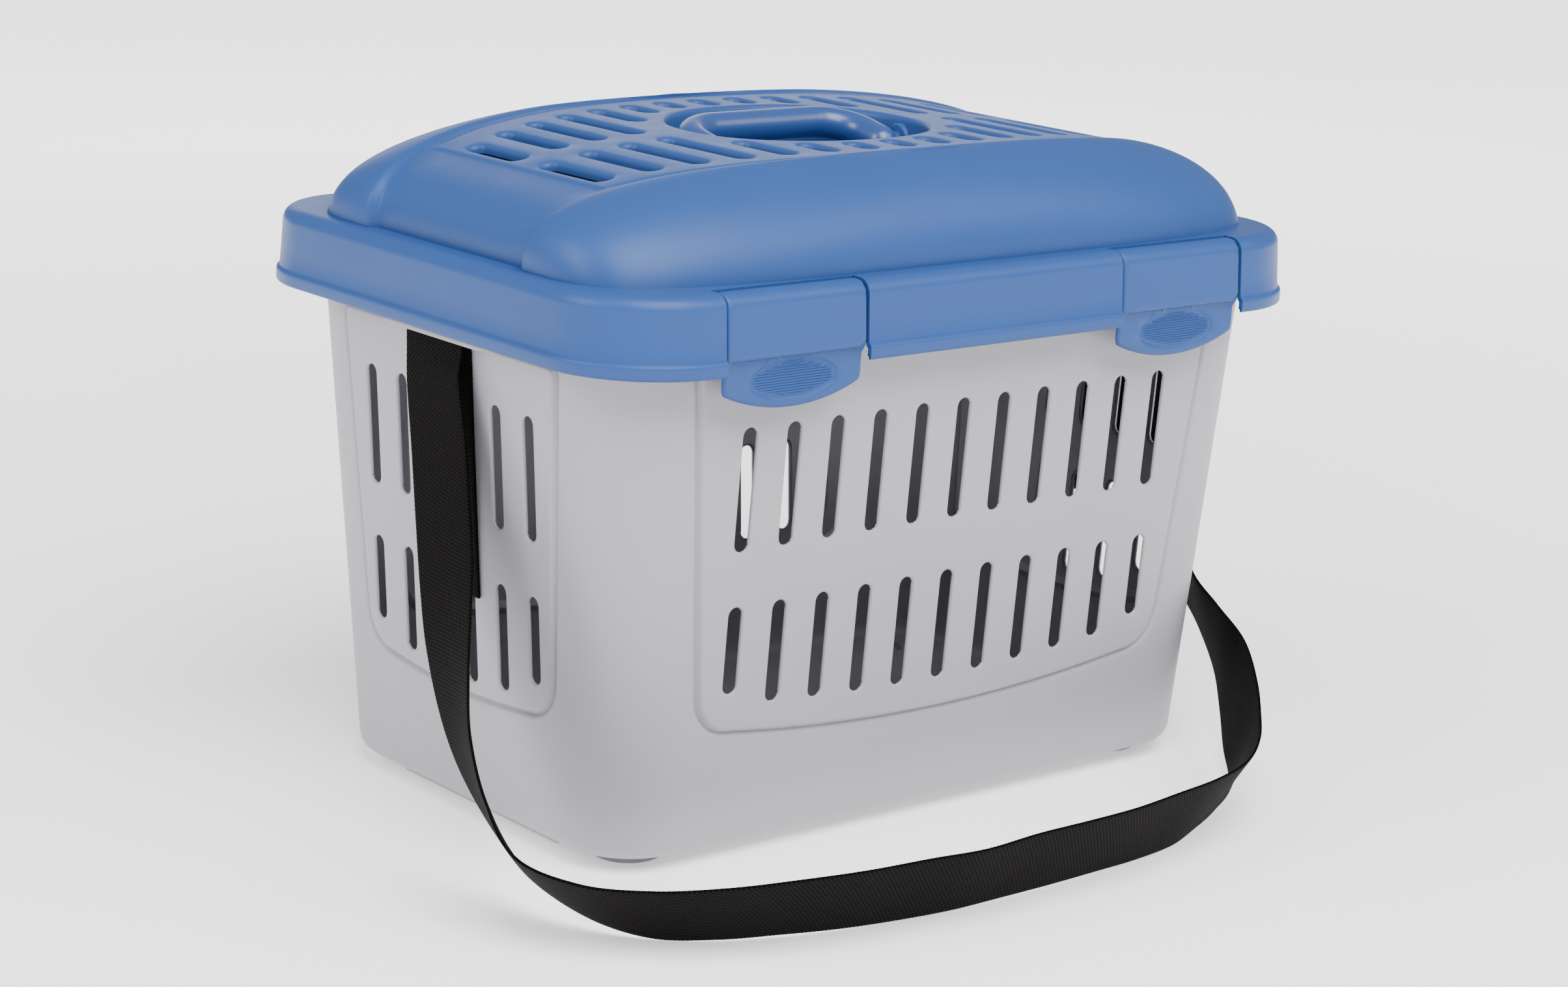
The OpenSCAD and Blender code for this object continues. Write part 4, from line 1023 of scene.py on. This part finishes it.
def add_rim(bm):
    """The flange round the rim, a closed band sunk a little into the wall."""
    a, b, r = wall_x(rim_low) - 1.2, wall_y(rim_low) - 1.2, tub_corner + 4.0
    inner = [flange_loop(a, body_y - b, body_y + b, r, z) for z in (rim_low, rim_high)]
    outer = [flange_loop(rim_half - e, rim_front + e, rim_back - e, rim_corner - e, z)
             for z, e in ((rim_low, 0.5), (rim_low + 0.5, 0.0), (rim_high - 0.5, 0.0), (rim_high, 0.5))]
    skin(bm, [inner[0]] + outer + [inner[1], inner[0]])


def add_hinge_ears(bm, side):
    root = body_y + wall_y(hinge_z) - 1.5
    ear = arc(hinge_y, hinge_z, ear_r, [-90 + 180 * i / 12 for i in range(13)])
    ear += [(root, hinge_z + ear_r), (root, hinge_z - ear_r)]
    stand = Matrix(((0, 0, 1, 0), (1, 0, 0, 0), (0, 1, 0, 0), (0, 0, 0, 1)))
    for end in (-1, 1):
        x = side * hinge_x + end * ear_out
        slab(bm, ear, x - ear_half, x + ear_half, stand, 0.5)


def add_bracket(bm, side):
    """A strap bracket: its plate round the webbing's gap, two posts and the bar between them."""
    root, edge = wall_x(bracket_z) - 1.5, wall_x(bracket_z) + bracket_out
    half, hole, low = bracket_half, bracket_hole, bracket_z - bracket_t
    corner = arc(edge - bracket_corner, half - bracket_corner, bracket_corner, range(0, 91, 15))
    left, right = sorted((side * root, side * (bar_x + 1.5)))
    for end in (-1, 1):
        pad = [(side * x, end * y + body_y) for x, y in [(root, hole), (edge, hole)] + corner + [(root, half)]]
        slab(bm, pad, low, bracket_z, Matrix.Identity(4), 0.4)
        post = body_y + end * 27.0
        block(bm, (left, post - 1.5, bracket_z - 1), (right, post + 1.5, bar_z + 2), 0.4)
    left, right = sorted((side * (edge - 2.4), side * edge))
    block(bm, (left, body_y - hole - 0.3, low), (right, body_y + hole + 0.3, bracket_z), 0.4)
    rod(bm, (side * bar_x, body_y - 26, bar_z), (side * bar_x, body_y + 26, bar_z), bar_d / 2, 24)


def add_skid(bm, side):
    skid = both_halves(arc(0.0, skid_half - skid_r, skid_r, range(0, 181, 15)))
    slab(bm, skid, foot_h - 3.0, foot_h + 1.0, Matrix.Translation((side * skid_x, body_y, 0)), 0.8)


def make_tub():
    bm = bmesh.new()
    add_walls(bm, True, vent_slots(last=5, pitch=26.3),
              panel_outline(half=149.0, low=57.5, bow=9.0, flare=0.086, top=263.25))
    add_walls(bm, False, vent_slots(last=2.5, pitch=26.2),
              panel_outline(half=77.5, low=66.0, bow=4.0, flare=0.063, top=240.9))
    add_corners_and_foot(bm)
    thicken(bm, tub_wall)
    add_rim(bm)
    for side in (-1, 1):
        add_hinge_ears(bm, side)
        add_bracket(bm, side)
        add_skid(bm, side)
    finish_piece("tub_shell", bm, grey_satin, "tub", ["tub"], outward=False)


make_tub()


# ---------------- feet and pins
def make_foot(name, x, y):
    """A turned push-in foot, as (radius, height): its round pad, a neck and a barbed head."""
    bm = bmesh.new()
    line = [(0.01, 0.0), (14.5, 0.0), (16.0, 0.25), (17.2, 0.9), (17.8, 1.8), (18.0, 3.0), (18.0, 5.0), (17.7, 5.8),
            (17.0, 6.25), (4.0, 6.3), (4.0, 8.7), (5.4, 8.75), (4.8, 10.2), (4.2, 10.6), (0.01, 10.7)]
    verts = [bm.verts.new((r, 0, z)) for r, z in line]
    edges = [bm.edges.new(pair) for pair in zip(verts, verts[1:])]
    bmesh.ops.spin(bm, geom=verts + edges, cent=(0, 0, 0), axis=(0, 0, 1), angle=2 * math.pi, steps=48, use_merge=True)
    bmesh.ops.remove_doubles(bm, verts=bm.verts, dist=0.03)
    bmesh.ops.translate(bm, vec=(x, y, 0), verts=bm.verts)
    finish_piece(name, bm, grey_foot, "tub", [name])


make_foot("foot_front_left", -foot_x, -foot_y + body_y)
make_foot("foot_front_right", foot_x, -foot_y + body_y)
make_foot("foot_rear_left", -foot_x, foot_y + body_y)
make_foot("foot_rear_right", foot_x, foot_y + body_y)

for pin_name in ("latch_pin_left", "latch_pin_right", "hinge_pin_left", "hinge_pin_right"):
    pin = frame["nodes"][pin_name]
    pin.data.materials.clear()
    pin.data.materials.append(pin_steel)


# ---------------- studio
def make_floor():
    """A white floor that glows more further out, so that the ground runs out to white."""
    bm = bmesh.new()
    bmesh.ops.create_grid(bm, x_segments=8, y_segments=8, size=9000.0)
    material, tree, shader = new_material("studio_white")
    place = object_place(tree)
    tint = ramp_of(tree, noise_of(tree, place, 3.0), 0.90, 0.92)
    grey = set_inputs(tree, tree.nodes.new("ShaderNodeCombineColor"), {"Red": tint, "Green": tint, "Blue": tint})
    far_off = tree.nodes.new("ShaderNodeVectorMath")
    far_off.operation = "LENGTH"
    set_inputs(tree, far_off, {0: place})
    set_inputs(tree, shader, {
        "Base Color": grey.outputs["Color"], "Roughness": 0.9, "Specular IOR Level": 0.1,
        "Emission Color": (1.0, 1.0, 1.0, 1.0),
        "Emission Strength": ramp_of(tree, far_off.outputs["Value"], 0.55, 2.1, 0.35, 2.1)})
    floor = as_object("studio_floor", bm, material, 35.0)


def soft_light(name, place, aim, size, power):
    data = bpy.data.lights.new(name, "AREA")
    data.shape = "RECTANGLE"
    data.size, data.size_y = size
    data.energy = power
    turn = (Vector(aim) - Vector(place)).to_track_quat("-Z", "Y").to_matrix().to_4x4()
    put(name, data).matrix_world = Matrix.Translation(place) @ turn


make_floor()
world = bpy.data.worlds.new("studio_air")
bpy.context.scene.world = world
world.use_nodes = True
set_inputs(world.node_tree, world.node_tree.nodes["Background"], {"Color": (1.0, 1.0, 1.0, 1.0), "Strength": 0.36})
soft_light("left_softbox", (-2.2, 0.5, 1.7), (-0.1, 0, 0.15), (1.3, 1.3), 44)
soft_light("right_softbox", (1.5, -2.0, 2.1), (0, 0, 0.15), (1.5, 1.5), 34)
soft_light("top_softbox", (-0.4, -1.4, 2.3), (0, 0, 0.2), (2.0, 2.0), 135)
soft_light("rear_softbox", (1.4, 2.3, 1.0), (0, 0, 0.3), (1.8, 0.9), 8)

for leftover in ("Cube", "Light", "Camera"):
    old = bpy.data.objects.get(leftover)
    if old is not None and not old.get("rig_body"):
        bpy.data.objects.remove(old)
